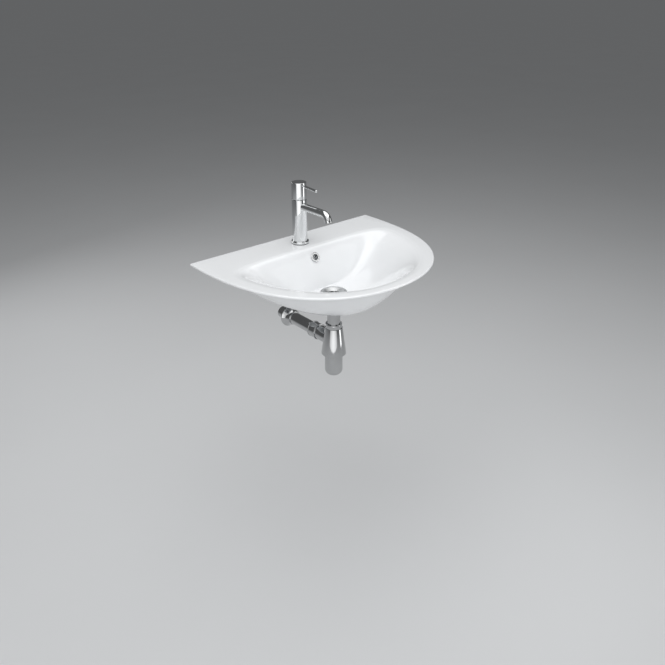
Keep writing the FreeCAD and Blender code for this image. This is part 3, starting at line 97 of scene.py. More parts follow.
class WashbasinCeramic(bpy.types.PropertyGroup):
    """Sizes of the ceramic basin, below and in front of the middle of its rim at the wall."""

    width: length(550, "Width", "Rim, left to right")
    depth: length(396, "Depth", "Rim, wall to front")
    rim_height: length(55, "Rim height", "Rim above the wall fixing holes")
    edge_radius: length(3, "Edge radius", "Half-round edge of the rim")
    hull_depth: length(112, "Hull depth", "Rim to the flat keel")
    keel_width: length(198, "Keel width", "Keel, left to right at the wall")
    keel_reach: length(252, "Keel reach", "Keel, wall to front")
    deck_depth: length(90, "Deck depth", "Tap deck, wall to bowl")
    deck_thickness: length(13, "Deck thickness", "Ceramic of the tap deck")
    bowl_width: length(480, "Bowl width", "Bowl opening, left to right")
    bowl_rim_front: length(24, "Front rim", "Flat rim in front of the bowl")
    bowl_depth: length(89, "Bowl depth", "Rim to the bowl's floor")
    floor_width: length(124, "Floor width", "Bowl floor, left to right")
    floor_behind: length(35, "Floor behind", "Bowl floor behind the drain")
    floor_ahead: length(50, "Floor ahead", "Bowl floor in front of the drain")
    waste_hole: length(46, "Waste hole", "Hole for the waste")
    waste_recess: length(63, "Waste recess", "Recess round the waste")
    waste_recess_depth: length(4.5, "Waste recess depth", "Recess round the waste")
    overflow_hole: length(18, "Overflow hole", "Hole behind the overflow ring")
    overflow_setback: length(110.5, "Overflow setback", "Wall to the middle of the overflow's mouth")
    overflow_drop: length(22, "Overflow drop", "Rim to the middle of the overflow's mouth")
    overflow_pitch: angle(31, "Overflow pitch", "Overflow's axis above the horizontal")
    overflow_depth: length(15, "Overflow depth", "Overflow's mouth to its duct")
    duct_bore: length(12, "Duct bore", "Overflow's duct inside the ceramic")
    duct_lean: length(6, "Duct lean", "Duct's foot in front of its head")
    duct_foot_bore: length(9, "Duct foot bore", "From the duct's foot to the waste")
    overflow_ring_bore: length(14.8, "Overflow ring bore", "Chrome ring, inside")
    overflow_ring_width: length(24, "Overflow ring width", "Chrome ring, outside")
    overflow_ring_lip: length(2, "Overflow ring lip", "Chrome ring, off the glaze")
    overflow_ring_sleeve: length(9, "Overflow ring sleeve", "Chrome ring, inside the hole")
    overflow_ring_stand: length(0.6, "Overflow ring stand", "Lip's foot above the mouth's middle")
    back_wall: length(14, "Back wall", "Ceramic against the wall")
    cavity_top_width: length(400, "Cavity top width", "Rear cavity under the deck")
    cavity_bottom_width: length(170, "Cavity bottom width", "Rear cavity at the keel")
    cavity_top_reach: length(80, "Cavity top reach", "Rear cavity under the deck, from the wall")
    cavity_bottom_reach: length(92, "Cavity bottom reach", "Rear cavity at the keel, from the wall")
    cavity_corner: length(12, "Cavity corner", "Rounded corners of the rear cavity")
    cavity_beside_fixing: length(14, "Cavity beside fixing", "Rear cavity past each wall fixing hole")
    tap_hole: length(35, "Tap hole", "Hole in the deck")
    fixing_spacing: length(280, "Fixing spacing", "Wall fixing holes")
    fixing_hole: length(13, "Fixing hole", "Wall fixing hole")
    side_steps: IntProperty(name="Steps round the rim", description="Mesh steps from corner to corner",
                            default=340, min=40, max=600)


class WashbasinTap(bpy.types.PropertyGroup):
    """Sizes of the tap, above the deck and from its upright axis."""

    radius: length(18, "Radius", "Body and cap")
    height: length(109.3, "Height", "Deck to the body's top")
    foot_top: length(6.5, "Foot", "Deck to the top of the base ring")
    shank_radius: length(16, "Shank radius", "Body through the deck")
    shank_reach: length(9, "Shank reach", "Shank below the deck's top")
    base_ring_radius: length(21.5, "Base ring radius", "Ring round the foot")
    base_ring_height: length(5, "Base ring height", "Ring round the foot")
    base_ring_round: length(1.5, "Base ring round", "Upper edge of the ring")
    cartridge_seat: length(66, "Cartridge seat", "Deck to the cartridge")
    cartridge_radius: length(12.6, "Cartridge bore", "Bore for the cartridge")
    bonnet_radius: length(15.1, "Bonnet bore", "Bore for the bonnet nut")
    bonnet_depth: length(7, "Bonnet depth", "Bore for the bonnet nut")
    inlet_radius: length(4.5, "Inlet radius", "Hose threads")
    inlet_depth: length(12, "Inlet depth", "Hose threads")
    inlet_spread: length(14, "Inlet spread", "Between the hose threads")
    inlet_forward: length(4, "Inlets forward", "Hose threads in front of the axis")
    passage_radius: length(3, "Passage radius", "Water ways to the cartridge")
    stud_radius: length(4.1, "Stud hole radius", "Hole of the fixing stud")
    stud_back: length(10, "Stud back", "Stud behind the axis")
    stud_depth: length(12, "Stud depth", "Hole of the fixing stud")
    spout_height: length(93.5, "Spout height", "Deck to the spout's axis")
    spout_radius: length(8.75, "Spout radius", "Tube outside")
    spout_wall: length(1.75, "Spout wall", "Tube's wall")
    spout_reach: length(106.5, "Spout reach", "Axis to the outlet")
    spout_bend: length(17, "Spout bend", "Bend radius on the tube's axis")
    spout_tip: length(4.6, "Spout tip", "Straight end after the bend")
    spout_seat: length(3.6, "Spout seat", "Tube inside the body's wall")
    spout_angle: angle(74, "Spout angle", "Angle of the bend")
    cap_gap: length(1.2, "Cap gap", "Body to cap")
    cap_height: length(39.5, "Cap height", "Handle cap")
    cap_round: length(1, "Cap round", "Upper edge of the cap")
    cap_bore: length(16, "Cap bore", "Cap over the bonnet")
    cap_cavity: length(13.5, "Cap cavity", "Cap over the bonnet")
    cap_socket: length(8.2, "Cap socket", "Square socket of the spindle")
    cap_socket_depth: length(14, "Cap socket depth", "Square socket of the spindle")
    lift: angle(20, "Lift", "Lever from shut to full flow")
    rod_radius: length(3, "Rod radius", "Lever rod")
    rod_below_top: length(6.7, "Rod below top", "Rod's root below the cap's top")
    rod_length: length(48.5, "Rod length", "Lever rod outside the cap")
    rod_spigot_radius: length(2.5, "Rod spigot radius", "Rod inside the cap")
    rod_spigot_length: length(7.6, "Rod spigot length", "Rod inside the cap")
    rod_stand: length(0.25, "Rod stand", "Rod's shoulder off the cap")
    rod_droop: angle(3.5, "Rod droop", "Rod below the horizontal")
    grub_radius: length(2.5, "Grub hole", "Hole of the grub screw")
    grub_height: length(20.5, "Grub height", "Grub screw above the cap's foot")
    edge: length(0.4, "Edge", "Broken edges of the turned pieces")


class WashbasinTrap(bpy.types.PropertyGroup):
    """Sizes of the waste and the trap."""

    flange_radius: length(30, "Waste flange radius", "Waste flange")
    flange_height: length(3, "Waste flange height", "Waste flange")
    dish_radius: length(25, "Dish radius", "Dish at its top")
    dish_depth: length(6, "Dish depth", "Dish")
    hub_radius: length(22.6, "Hub radius", "Waste in the ceramic")
    tail_radius: length(21, "Tail radius", "Threaded tail")
    tail_bore: length(17, "Tail bore", "Inside the tail")
    bar: length(3, "Bars", "Cross bars in the waste")
    slot_width: length(14, "Slot width", "Overflow slots in the waste")
    slot_height: length(9, "Slot height", "Overflow slots in the waste")
    pipe_radius: length(16, "Pipe radius", "Inlet tube and outlet pipe")
    pipe_wall: length(1.5, "Pipe wall", "Inlet tube and outlet pipe")
    pipe_bead: length(0.8, "Pipe bead", "Stop bead of the outlet pipe at the wall")
    pipe_bead_width: length(2, "Pipe bead width", "Stop bead of the outlet pipe at the wall")
    tube_flange_radius: length(20.3, "Tube flange radius", "Inlet tube's flange")
    tube_flange_height: length(2.5, "Tube flange height", "Inlet tube's flange")
    union_radius: length(25, "Union radius", "Inlet nut")
    union_lip: length(4, "Union lip", "Inlet nut under the tube's flange")
    union_rib: length(1.2, "Union rib", "Grip ribs of the inlet nut")
    union_ribs: IntProperty(name="Union ribs", description="Grip ribs of the inlet nut",
                            default=12, min=3, max=60)
    neck_radius: length(18.4, "Neck radius", "Threaded neck of the trap")
    neck_height: length(7, "Neck height", "Threaded neck of the trap")
    collar_radius: length(20.5, "Collar radius", "Collar nut")
    cone_top_radius: length(21.7, "Cone top radius", "Cone of the trap")
    cone_bottom_radius: length(31.25, "Cone bottom radius", "Cone of the trap")
    cone_height: length(72.5, "Cone height", "Cone of the trap")
    trap_wall: length(2.5, "Trap wall", "Cone and cup")
    cup_radius: length(22.5, "Cup radius", "Cup of the trap")
    cup_height: length(58, "Cup height", "Cup below its seal")
    cup_round: length(14, "Cup round", "Rounded bottom of the cup")
    cup_spigot_radius: length(20, "Cup spigot radius", "Cup inside the cone")
    boss_radius: length(19, "Boss radius", "Outlet boss of the trap")
    boss_reach: length(53, "Boss reach", "Trap axis to the end of the boss")
    boss_thread_radius: length(17.7, "Boss thread radius", "Thread of the boss")
    boss_thread_length: length(14, "Boss thread length", "Thread of the boss")
    boss_bore: length(13.5, "Boss bore", "Way out of the cone")
    pipe_engagement: length(27, "Pipe engagement", "Outlet pipe inside the boss")
    nut_radius: length(20, "Outlet nut radius", "Outlet nut")
    nut_bead: length(0.9, "Outlet nut bead", "Beads at the nut's ends")
    nut_bead_width: length(3, "Outlet nut bead width", "Beads at the nut's ends")
    nut_lip: length(9, "Outlet nut lip", "Outlet nut behind its seal")
    rose_radius: length(28.5, "Wall flange radius", "Wall flange at the wall")
    rose_neck: length(18.5, "Wall flange neck", "Wall flange at its front")
    rose_depth: length(22, "Wall flange depth", "Wall flange")
    rose_rim: length(3, "Wall flange rim", "Straight rim at the wall")
    rose_curve: length(30, "Wall flange curve", "Hollow curve of the wall flange")
    rose_thickness: length(1.5, "Wall flange thickness", "Wall flange")
    fit: length(0.1, "Fit", "Room between pieces that fit together")


class WashbasinFinishes(bpy.types.PropertyGroup):
    """Colours of the surfaces."""

    glaze: colour((0.86, 0.875, 0.89), "Glaze", "White glaze")
    chrome: colour((0.72, 0.73, 0.735), "Chrome", "Polished chrome plate")
    # Trap chrome is the same plate as the tap's chrome, painted darker: a painted dark reflection of dark
    # surroundings that the studio does not have.
    trap_chrome: colour((0.5, 0.505, 0.51), "Trap chrome", "Darker chrome plate of the trap")
    satin: colour((0.54, 0.55, 0.555), "Satin chrome", "Chrome of the waste, dulled by water")
    steel: colour((0.52, 0.53, 0.54), "Steel", "Zinc-plated steel")
    brass: colour((0.66, 0.47, 0.19), "Brass", "Turned brass")
    rubber: colour((0.022, 0.022, 0.024), "Rubber", "Black rubber")
    plastic: colour((0.72, 0.72, 0.69), "Plastic", "Pale moulded plastic")
    alumina: colour((0.82, 0.80, 0.74), "Alumina", "Lapped ceramic discs")
    floor: colour((0.72, 0.73, 0.74), "Floor", "Studio floor")


class WashbasinStage(bpy.types.PropertyGroup):
    """Camera and studio."""

    floor_drop: length(850, "Floor", "Rim above the floor")
    floor_reach: length(150000, "Floor reach", "Middle of the floor to its sides")
    lens: FloatProperty(name="Lens", description="Focal length on a 36 mm sensor", default=35.0, min=10.0,
                        subtype="DISTANCE_CAMERA", unit="CAMERA")
    key_power: power(41.0, "Key", "Large soft light above the left side")
    top_power: power(32.0, "Top", "Soft light above")
    front_power: power(4.0, "Front", "Wide soft light low in front")
    side_power: power(0.8, "Side", "Tall soft light low on the right")
    fill_power: power(2.4, "Fill", "Soft light on the right")
    back_power: power(7.0, "Back", "Soft light behind")
    world_level: FloatProperty(name="World", description="Level of the even light", default=0.17, min=0.0)


def ceramic():
    return bpy.context.scene.washbasin_ceramic


def tap():
    return bpy.context.scene.washbasin_tap


def trap():
    return bpy.context.scene.washbasin_trap


def finishes():
    return bpy.context.scene.washbasin_finishes


def stage_settings():
    return bpy.context.scene.washbasin_stage


# Places taken from the frame

def up(height):
    return Vector((0, 0, height))


def middle_of(node):
    low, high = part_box(node)
    return (low + high) / 2


def height_span(node):
    """The heights of a CAD node's lowest and highest point."""
    low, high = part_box(node)
    return low.z, high.z


def tap_axis():
    """The tap's upright axis, at height zero."""
    return Vector((0, middle_of("base_ring").y, 0))


def drain_axis():
    """The drain's upright axis, at height zero."""
    return Vector((0, middle_of("inlet_tube").y, 0))


def outlet_axis():
    """The outlet pipe's axis, at the wall."""
    return up(middle_of("outlet_pipe").z)


def floor_middle():
    """The height halfway between the bowl's floor and the keel."""
    sizes = ceramic()
    return sizes.rim_height - (sizes.bowl_depth + sizes.hull_depth) / 2


# Nodes and finishes

NODE_SPACING = (200, -180)
COAT_ROUGHNESS = 0.03
GRAIN_HEIGHT = 0.4 * MM
# The noise level at which a patch has its darkest and smoothest tone, and its lightest and dullest one.
PATCH_RANGE = (0.3, 0.7)
RECIPES = {
    "glaze": dict(roughness=0.11, spread=0.03, patch_scale=9.0, tint=0.012, grain=0.006,
                  grain_scale=90.0, coat=0.3),
    "chrome": dict(metallic=1.0, roughness=0.07, spread=0.02, patch_scale=60.0, tint=0.02),
    # The trap's chrome: plain chrome with a darker colour, a painted dark reflection rather than a different
    # plate.
    "trap_chrome": dict(metallic=1.0, roughness=0.08, spread=0.02, patch_scale=50.0, tint=0.03),
    "satin": dict(metallic=1.0, roughness=0.45, spread=0.05, patch_scale=80.0, tint=0.03, grain=0.02,
                  grain_scale=300.0),
    "steel": dict(metallic=1.0, roughness=0.36, spread=0.08, patch_scale=120.0, tint=0.08, grain=0.2),
    "brass": dict(metallic=1.0, roughness=0.32, spread=0.07, patch_scale=90.0, tint=0.1, grain=0.15),
    "rubber": dict(roughness=0.62, spread=0.08, patch_scale=150.0, tint=0.2, grain=0.35),
    "plastic": dict(roughness=0.42, spread=0.06, patch_scale=110.0, tint=0.04, grain=0.2),
    "alumina": dict(roughness=0.22, spread=0.05, patch_scale=140.0, tint=0.03, grain=0.05),
    "floor": dict(roughness=0.7, spread=0.03, patch_scale=1.5, tint=0.01, specular=0.0),
}
SURFACES = {}


def add_node(tree, kind, place, **values):
    """Adds a node and sets its properties and the inputs named in values."""
    node = tree.nodes.new(kind)
    node.location = (place[0] * NODE_SPACING[0], place[1] * NODE_SPACING[1])
    for name, value in values.items():
        if hasattr(node, name):
            setattr(node, name, value)
        else:
            node.inputs[name.replace("_", " ")].default_value = value
    return node


def link(tree, *lines):
    """Joins nodes; each line is a node and its output, then a node and its input."""
    for start, output, end, entry in lines:
        tree.links.new(start.outputs[output], end.inputs[entry])


def surface(name, base, roughness, spread, patch_scale, tint, metallic=0.0, grain=0.0, grain_scale=900.0,
            coat=0.0, specular=0.5):
    """A procedural surface: colour and roughness drift in soft patches, and a fine grain lifts the face."""
    material = bpy.data.materials.new(name)
    material.use_nodes = True
    tree = material.node_tree
    tree.nodes.clear()
    output = add_node(tree, "ShaderNodeOutputMaterial", (6, 0))
    shader = add_node(tree, "ShaderNodeBsdfPrincipled", (5, 0), Metallic=metallic, Coat_Weight=coat,
                      Coat_Roughness=COAT_ROUGHNESS, Specular_IOR_Level=specular)
    place = add_node(tree, "ShaderNodeTexCoord", (0, 0))
    patches = add_node(tree, "ShaderNodeTexNoise", (1, 0), Scale=patch_scale, Detail=4.0, Roughness=0.55)
    tones = add_node(tree, "ShaderNodeValToRGB", (3, 0))
    for stop, level, factor in zip(tones.color_ramp.elements, PATCH_RANGE, (1 - tint, 1 + tint)):
        stop.position = level
        stop.color = (*(min(1.0, channel * factor) for channel in base), 1)
    shine = add_node(tree, "ShaderNodeMapRange", (3, 1), From_Min=PATCH_RANGE[0], From_Max=PATCH_RANGE[1],
                     To_Min=max(0.0, roughness - spread), To_Max=roughness + spread)
    link(tree,
         (place, "Object", patches, "Vector"),
         (patches, "Fac", tones, "Fac"),
         (patches, "Fac", shine, "Value"),
         (tones, "Color", shader, "Base Color"),
         (shine, "Result", shader, "Roughness"),
         (shader, "BSDF", output, "Surface"))
    if grain:
        fine = add_node(tree, "ShaderNodeTexNoise", (1, 2), Scale=grain_scale, Detail=3.0, Roughness=0.5)
        lift = add_node(tree, "ShaderNodeBump", (4, 2), Strength=grain, Distance=GRAIN_HEIGHT)
        link(tree,
             (place, "Object", fine, "Vector"),
             (fine, "Fac", lift, "Height"),
             (lift, "Normal", shader, "Normal"))
    return material


def finish_of(name):
    """One material for each finish, made when it is first asked for."""
    if name not in SURFACES:
        SURFACES[name] = surface(f"washbasin_{name}", tuple(getattr(finishes(), name)), **RECIPES[name])
    return SURFACES[name]


def node_group(name, inputs):
    """A node group with geometry in and out and named inputs, and the identifiers of these inputs."""
    tree = bpy.data.node_groups.new(name, "GeometryNodeTree")
    face = tree.interface
    face.new_socket("Geometry", in_out="INPUT", socket_type="NodeSocketGeometry")
    identifiers = {}
    for label, kind in inputs.items():
        socket = face.new_socket(label, in_out="INPUT", socket_type=f"NodeSocket{kind}")
        identifiers[label] = socket.identifier
    face.new_socket("Geometry", in_out="OUTPUT", socket_type="NodeSocketGeometry")
    return tree, identifiers


def end_group(tree, given, last, output):
    """Ends a node group in Realize Instances and Set Material."""
    realize = add_node(tree, "GeometryNodeRealizeInstances", (5, 0))
    paint = add_node(tree, "GeometryNodeSetMaterial", (6, 0))
    result = add_node(tree, "NodeGroupOutput", (7, 0))
    link(tree,
         (last, output, realize, "Geometry"),
         (realize, "Geometry", paint, "Geometry"),
         (given, "Finish", paint, "Material"),
         (paint, "Geometry", result, "Geometry"))


# Mesh helpers

SMOOTH_ANGLE = math.radians(32)
ROUNDING_STEPS = 6
TURN_STEPS = 128
RING_STEPS = 96
ROD_STEPS = 64
BORE_STEPS = 32
MERGE_DISTANCE = 1e-6
CARVE_MERGE_DISTANCE = 2e-6
# How far a tool reaches past what it cuts: in the ceramic, and in the turned pieces.
SPARE = 4 * MM
SMALL_SPARE = MM


def put(name, data):
    """An object for a mesh, a lamp or a camera, in the scene."""
    thing = bpy.data.objects.new(name, data)
    bpy.context.scene.collection.objects.link(thing)
    return thing


def piece_from(name, mesh, node, finish="chrome", body="fixed"):
    """Makes a mesh a finished piece that stands for a CAD node."""
    mesh.name = name
    mesh.materials.clear()
    mesh.materials.append(finish_of(finish))
    piece = put(name, mesh)
    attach(piece, body)
    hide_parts(node)


def smooth_by_angle(mesh):
    mesh.shade_smooth()
    mesh.set_sharp_from_angle(angle=SMOOTH_ANGLE)


def merge(shape, distance):
    """Merges points that lie together, and takes out what then has no length or area."""
    bmesh.ops.remove_doubles(shape, verts=shape.verts, dist=distance)
    bmesh.ops.dissolve_degenerate(shape, edges=shape.edges, dist=distance)


def mesh_of(shape, name):
    """The plain mesh of a bmesh, which is freed."""
    mesh = bpy.data.meshes.new(name)
    shape.to_mesh(mesh)
    shape.free()
    return mesh


def face_outward(mesh):
    """Turns the faces of a closed mesh outwards."""
    shape = bmesh.new()
    shape.from_mesh(mesh)
    bmesh.ops.recalc_face_normals(shape, faces=shape.faces)
    shape.to_mesh(mesh)
    shape.free()


def shortest_turn(start, end):
    """The angle from one bearing to another, the shorter way round."""
    return (end - start + math.pi) % (2 * math.pi) - math.pi


def rounded(corners):
    """Points of a closed outline whose corners are (radius, height, rounding)."""
    points = []
    for index, (across, height, rounding) in enumerate(corners):
        here = Vector((across, height))
        before = Vector(corners[index - 1][:2])
        after = Vector(corners[(index + 1) % len(corners)][:2])
        if rounding == 0:
            points.append(here)
            continue
        back = (before - here).normalized()
        forth = (after - here).normalized()
        half = math.acos(max(-1.0, min(1.0, back.dot(forth)))) / 2
        reach = rounding / math.tan(half)
        centre = here + (back + forth).normalized() * (rounding / math.sin(half))
        first = here + back * reach - centre
        last = here + forth * reach - centre
        start = math.atan2(first.y, first.x)
        turn = shortest_turn(start, math.atan2(last.y, last.x))
        for step in range(ROUNDING_STEPS + 1):
            bearing = start + turn * step / ROUNDING_STEPS
            points.append(centre + Vector((math.cos(bearing), math.sin(bearing))) * rounding)
    return points


def lathe(corners, place, steps=TURN_STEPS):
    """A mesh turned about its own Z axis from a closed outline, put at place (a Matrix)."""
    outline = rounded(corners)
    shape = bmesh.new()
    rings = []
    for step in range(steps):
        bearing = 2 * math.pi * step / steps
        rings.append([shape.verts.new((point.x * math.cos(bearing), point.x * math.sin(bearing), point.y))
                      for point in outline])
    for step, ring in enumerate(rings):
        following = rings[(step + 1) % steps]
        for index in range(len(outline)):
            after = (index + 1) % len(outline)
            shape.faces.new((ring[index], following[index], following[after], ring[after]))
    merge(shape, MERGE_DISTANCE)
    bmesh.ops.recalc_face_normals(shape, faces=shape.faces)
    bmesh.ops.transform(shape, matrix=place, verts=shape.verts)
    mesh = mesh_of(shape, "turned")
    smooth_by_angle(mesh)
    return mesh


def upright(axis, height):
    return Matrix.Translation(axis + up(height))


def towards(point, direction):
    """Turns a shape's Z axis along a direction and puts its origin at a point."""
    return Matrix.Translation(point) @ Vector(direction).to_track_quat("Z", "Y").to_matrix().to_4x4()


def rod_shape(radius, start, end, steps=ROD_STEPS):
    """A plain round bar between two points."""
    way = end - start
    corners = [(0, 0, 0), (radius, 0, 0), (radius, way.length, 0), (0, way.length, 0)]
    return lathe(corners, towards(start, way), steps)


def box_shape(low, high):
    """A plain block between two corners."""
    low, high = Vector(low), Vector(high)
    shape = bmesh.new()
    bmesh.ops.create_cube(shape, size=1.0)
    place = Matrix.Translation((low + high) / 2) @ Matrix.Diagonal((*(high - low), 1.0))
    bmesh.ops.transform(shape, matrix=place, verts=shape.verts)
    return mesh_of(shape, "block")


def loft(loops, name, capped):
    """A mesh through closed loops of points, with a cap at each end or with the last joined to the first."""
    count = len(loops[0])
    points = [point for loop in loops for point in loop]
    faces = []
    for index in range(len(loops) - 1 if capped else len(loops)):
        low, high = index * count, (index + 1) % len(loops) * count
        for step in range(count):
            after = (step + 1) % count
            faces.append((low + step, low + after, high + after, high + step))
    if capped:
        faces += [range(count)[::-1], range(len(points) - count, len(points))]
    mesh = bpy.data.meshes.new(name)
    mesh.from_pydata(points, [], faces)
    face_outward(mesh)
    return mesh


def evaluated(work):
    """The plain mesh of an object with its modifiers; the object is removed."""
    bpy.context.view_layer.update()
    result = bpy.data.meshes.new_from_object(work.evaluated_get(bpy.context.evaluated_depsgraph_get()))
    bpy.data.objects.remove(work)
    return result


def carve(mesh, tools, operation="DIFFERENCE"):
    """The mesh less the tools, or joined with them, as a new mesh."""
    work = put("work", mesh)
    helpers = [put("tool", tool) for tool in tools]
    for helper in helpers:
        cut = work.modifiers.new("carve", "BOOLEAN")
        cut.operation = operation
        cut.solver = "EXACT"
        cut.object = helper
    result = evaluated(work)
    for helper in helpers:
        bpy.data.objects.remove(helper)
    shape = bmesh.new()
    shape.from_mesh(result)
    merge(shape, CARVE_MERGE_DISTANCE)
    shape.to_mesh(result)
    shape.free()
    smooth_by_angle(result)
    return result


def grown(start, group, values, thickness=0.0):
    """The plain mesh that a node group makes from a start mesh, with a wall inside it if asked."""
    tree, identifiers = group
    work = put("work", start)
    nodes = work.modifiers.new("nodes", "NODES")
    nodes.node_group = tree
    for label, value in values.items():
        nodes[identifiers[label]] = value
    if thickness:
        wall = work.modifiers.new("wall", "SOLIDIFY")
        wall.thickness = thickness
        wall.offset = -1.0
    return evaluated(work)


# Ceramic basin

PLAN_SIDE_POWER = 2.11
PLAN_FRONT_POWER = 2.70
PLAN_FLARE = 0.018
HULL_SIDE_POWER = 0.40
HULL_FRONT_POWER = 0.54
BOWL_MIDDLE = 0.45
BOWL_CORNER_POWER = 6
# Depth of each bowl ring, then how far its sides, back and front have come in from opening to floor.
BOWL_PROFILE = (
    (0.0, -0.075, -0.16, -0.075),
    (0.002, -0.045, -0.09, -0.045),
    (0.010, -0.010, -0.01, -0.010),
    (0.03, 0.04, 0.09, 0.037),
    (0.09, 0.11, 0.19, 0.09),
    (0.22, 0.23, 0.34, 0.16),
    (0.45, 0.38, 0.56, 0.287),
    (0.7, 0.55, 0.78, 0.457),
    (0.88, 0.73, 0.92, 0.65),
    (0.97, 0.9, 0.98, 0.846),
    (1.0, 1.0, 1.0, 1.0),
)
BOWL_STEPS = (8, 12, 14, 12, 8, 6, 6, 5, 5, 5)
# Rings on the flat rim, as shares of the way from the bowl to the edge.
RIM_SHARES = (0.3, 0.65)
EDGE_STEPS = 10
HULL_STEPS = 40
CAVITY_CORNER_STEPS = 8
RECESS_EDGE = 0.8 * MM
# The middle ring of the recess's soft edge, as a share of that edge.
RECESS_EDGE_MIDDLE = 0.3
HALVINGS = 50
FINE_ANGLES = 4001
# Rounding of a flange's outer and inner edge, as a share of its height.
OUTER_ROUND = 0.6
INNER_ROUND = 0.4


def smooth_path(points, counts):
    """Points of a smooth line through the given ones, with a count of steps for each stretch."""
    points = np.array(points, float)
    extended = np.vstack([2 * points[0] - points[1], points, 2 * points[-1] - points[-2]])
    line = []
    for index, steps in enumerate(counts):
        before, start, end, after = extended[index:index + 4]
        for step in range(steps):
            t = step / steps
            line.append(0.5 * (2 * start + (end - before) * t
                               + (2 * before - 5 * start + 4 * end - after) * t ** 2
                               + (3 * start - before - 3 * end + after) * t ** 3))
    line.append(points[-1])
    return np.array(line)


def plan_points(half_width, reach, angles):
    """Points on the rounded side of a D-shaped section, from the right corner to the left one."""
    out = np.sin(angles) ** (2 / PLAN_FRONT_POWER)
    side = np.sign(np.cos(angles)) * np.abs(np.cos(angles)) ** (2 / PLAN_SIDE_POWER)
    return np.stack([half_width * side * (1 + PLAN_FLARE * out), -reach * out], axis=1)


def plan_distances(half_width, reach, middle, directions):
    """From a point in the middle of a D-shaped section to its edge, in each direction."""
    inside = np.zeros(len(directions))
    outside = np.full(len(directions), reach + half_width)
    for _ in range(HALVINGS):
        distance = (inside + outside) / 2
        out = np.maximum((middle - distance * directions[:, 1]) / reach, 0)
        side = np.abs(distance * directions[:, 0]) / (half_width * (1 + PLAN_FLARE * out))
        within = side ** PLAN_SIDE_POWER + out ** PLAN_FRONT_POWER < 1
        inside = np.where(within, distance, inside)
        outside = np.where(within, outside, distance)
    return inside


def even_angles(half_width, reach, steps):
    """Angles that part the rounded side into steps of one length."""
    fine = np.linspace(0, math.pi, FINE_ANGLES)
    points = plan_points(half_width, reach, fine)
    run = np.concatenate([[0], np.cumsum(np.linalg.norm(np.diff(points, axis=0), axis=1))])
    return np.interp(np.linspace(0, run[-1], steps + 1), run, fine)


def bowl_middle(back, front):
    """How far from the wall the point lies that a bowl ring goes round."""
    return back + (front - back) * BOWL_MIDDLE


class BasinRings:
    """Rings of points round the basin, each with the same count, from the waste hole up and over and back."""

    def __init__(self, sizes):
        self.angles = even_angles(sizes.width / 2, sizes.depth, sizes.side_steps)
        self.back_steps = sizes.side_steps // 2
        self.rings = []
        outline = self.d_ring(sizes.width / 2, sizes.depth)
        around = outline + np.array([0, bowl_middle(sizes.deck_depth, sizes.depth - sizes.bowl_rim_front)])
        self.directions = around / np.linalg.norm(around, axis=1)[:, None]

    def d_ring(self, half_width, reach):
        """A D-shaped ring: the rounded side, then the straight back along the wall."""
        side = plan_points(half_width, reach, self.angles)
        side[0], side[-1] = (half_width, 0), (-half_width, 0)
        back = np.linspace(side[-1], side[0], self.back_steps + 1)[1:-1]
        return np.vstack([side, back])

    def bowl_ring(self, half_width, back, front):
        """A bowl ring: the D shape with a straight back and soft corners."""
        middle = bowl_middle(back, front)
        edge = plan_distances(half_width, front, middle, self.directions)
        behind = np.maximum(self.directions[:, 1], 0) / (middle - back)
        nearness = edge ** -float(BOWL_CORNER_POWER) + behind ** BOWL_CORNER_POWER
        return self.directions * (nearness ** (-1 / BOWL_CORNER_POWER))[:, None] - np.array([0, middle])

    def drain_ring(self, radius, drain):
        return self.directions * radius - np.array([0, drain])

    def add(self, ring, height):
        self.rings.append(np.column_stack([ring, np.full(len(ring), height)]))


def basin_surface(sizes):
    """The whole glazed surface: waste hole, bowl, deck, rim and hull."""
    rings = BasinRings(sizes)
    rim, drain = sizes.rim_height, -drain_axis().y
    half, reach, edge = sizes.width / 2, sizes.depth, sizes.edge_radius
    floor, keel = rim - sizes.bowl_depth, rim - sizes.hull_depth
    recess = floor - sizes.waste_recess_depth
    hole, wide = sizes.waste_hole / 2, sizes.waste_recess / 2
    soft, middle = RECESS_EDGE, RECESS_EDGE * RECESS_EDGE_MIDDLE
    for radius, height in (
        (hole, keel), (hole, recess), (wide, recess), (wide, floor - soft), (wide + middle, floor - middle),
        (wide + soft, floor),
    ):
        rings.add(rings.drain_ring(radius, drain), height)
    half_bowl, half_floor = sizes.bowl_width / 2, sizes.floor_width / 2
    back, back_floor = sizes.deck_depth, drain - sizes.floor_behind
    front, front_floor = reach - sizes.bowl_rim_front, drain + sizes.floor_ahead
    for down, side, behind, ahead in smooth_path(BOWL_PROFILE, BOWL_STEPS)[::-1]:
        ring = rings.bowl_ring(half_bowl + (half_floor - half_bowl) * side,
                               back + (back_floor - back) * behind,
                               front + (front_floor - front) * ahead)
        rings.add(ring, rim - sizes.bowl_depth * max(down, 0.0))
    opening = rings.rings[-1][:, :2]
    outer = rings.d_ring(half - edge, reach - edge)
    for share in RIM_SHARES:
        rings.add(opening + (outer - opening) * share, rim)
    for step in range(EDGE_STEPS + 1):
        bearing = math.pi * (0.5 - step / EDGE_STEPS)
        inset = edge * (1 - math.cos(bearing))
        rings.add(rings.d_ring(half - inset, reach - inset), rim - edge * (1 - math.sin(bearing)))
    lip = 2 * edge
    half_keel, keel_reach = sizes.keel_width / 2, sizes.keel_reach
    for step in range(1, HULL_STEPS + 1):
        bearing = math.pi / 2 * step / HULL_STEPS
        share = math.sin(bearing) ** (2 / HULL_SIDE_POWER)
        ahead = math.sqrt(max(0.0, 1 - share ** HULL_FRONT_POWER))
        ring = rings.d_ring(half_keel + (half - edge - half_keel) * math.cos(bearing),
                            keel_reach + (reach - edge - keel_reach) * ahead)
        rings.add(ring, rim - lip - (sizes.hull_depth - lip) * share)
    return loft(rings.rings, "rings", capped=False)


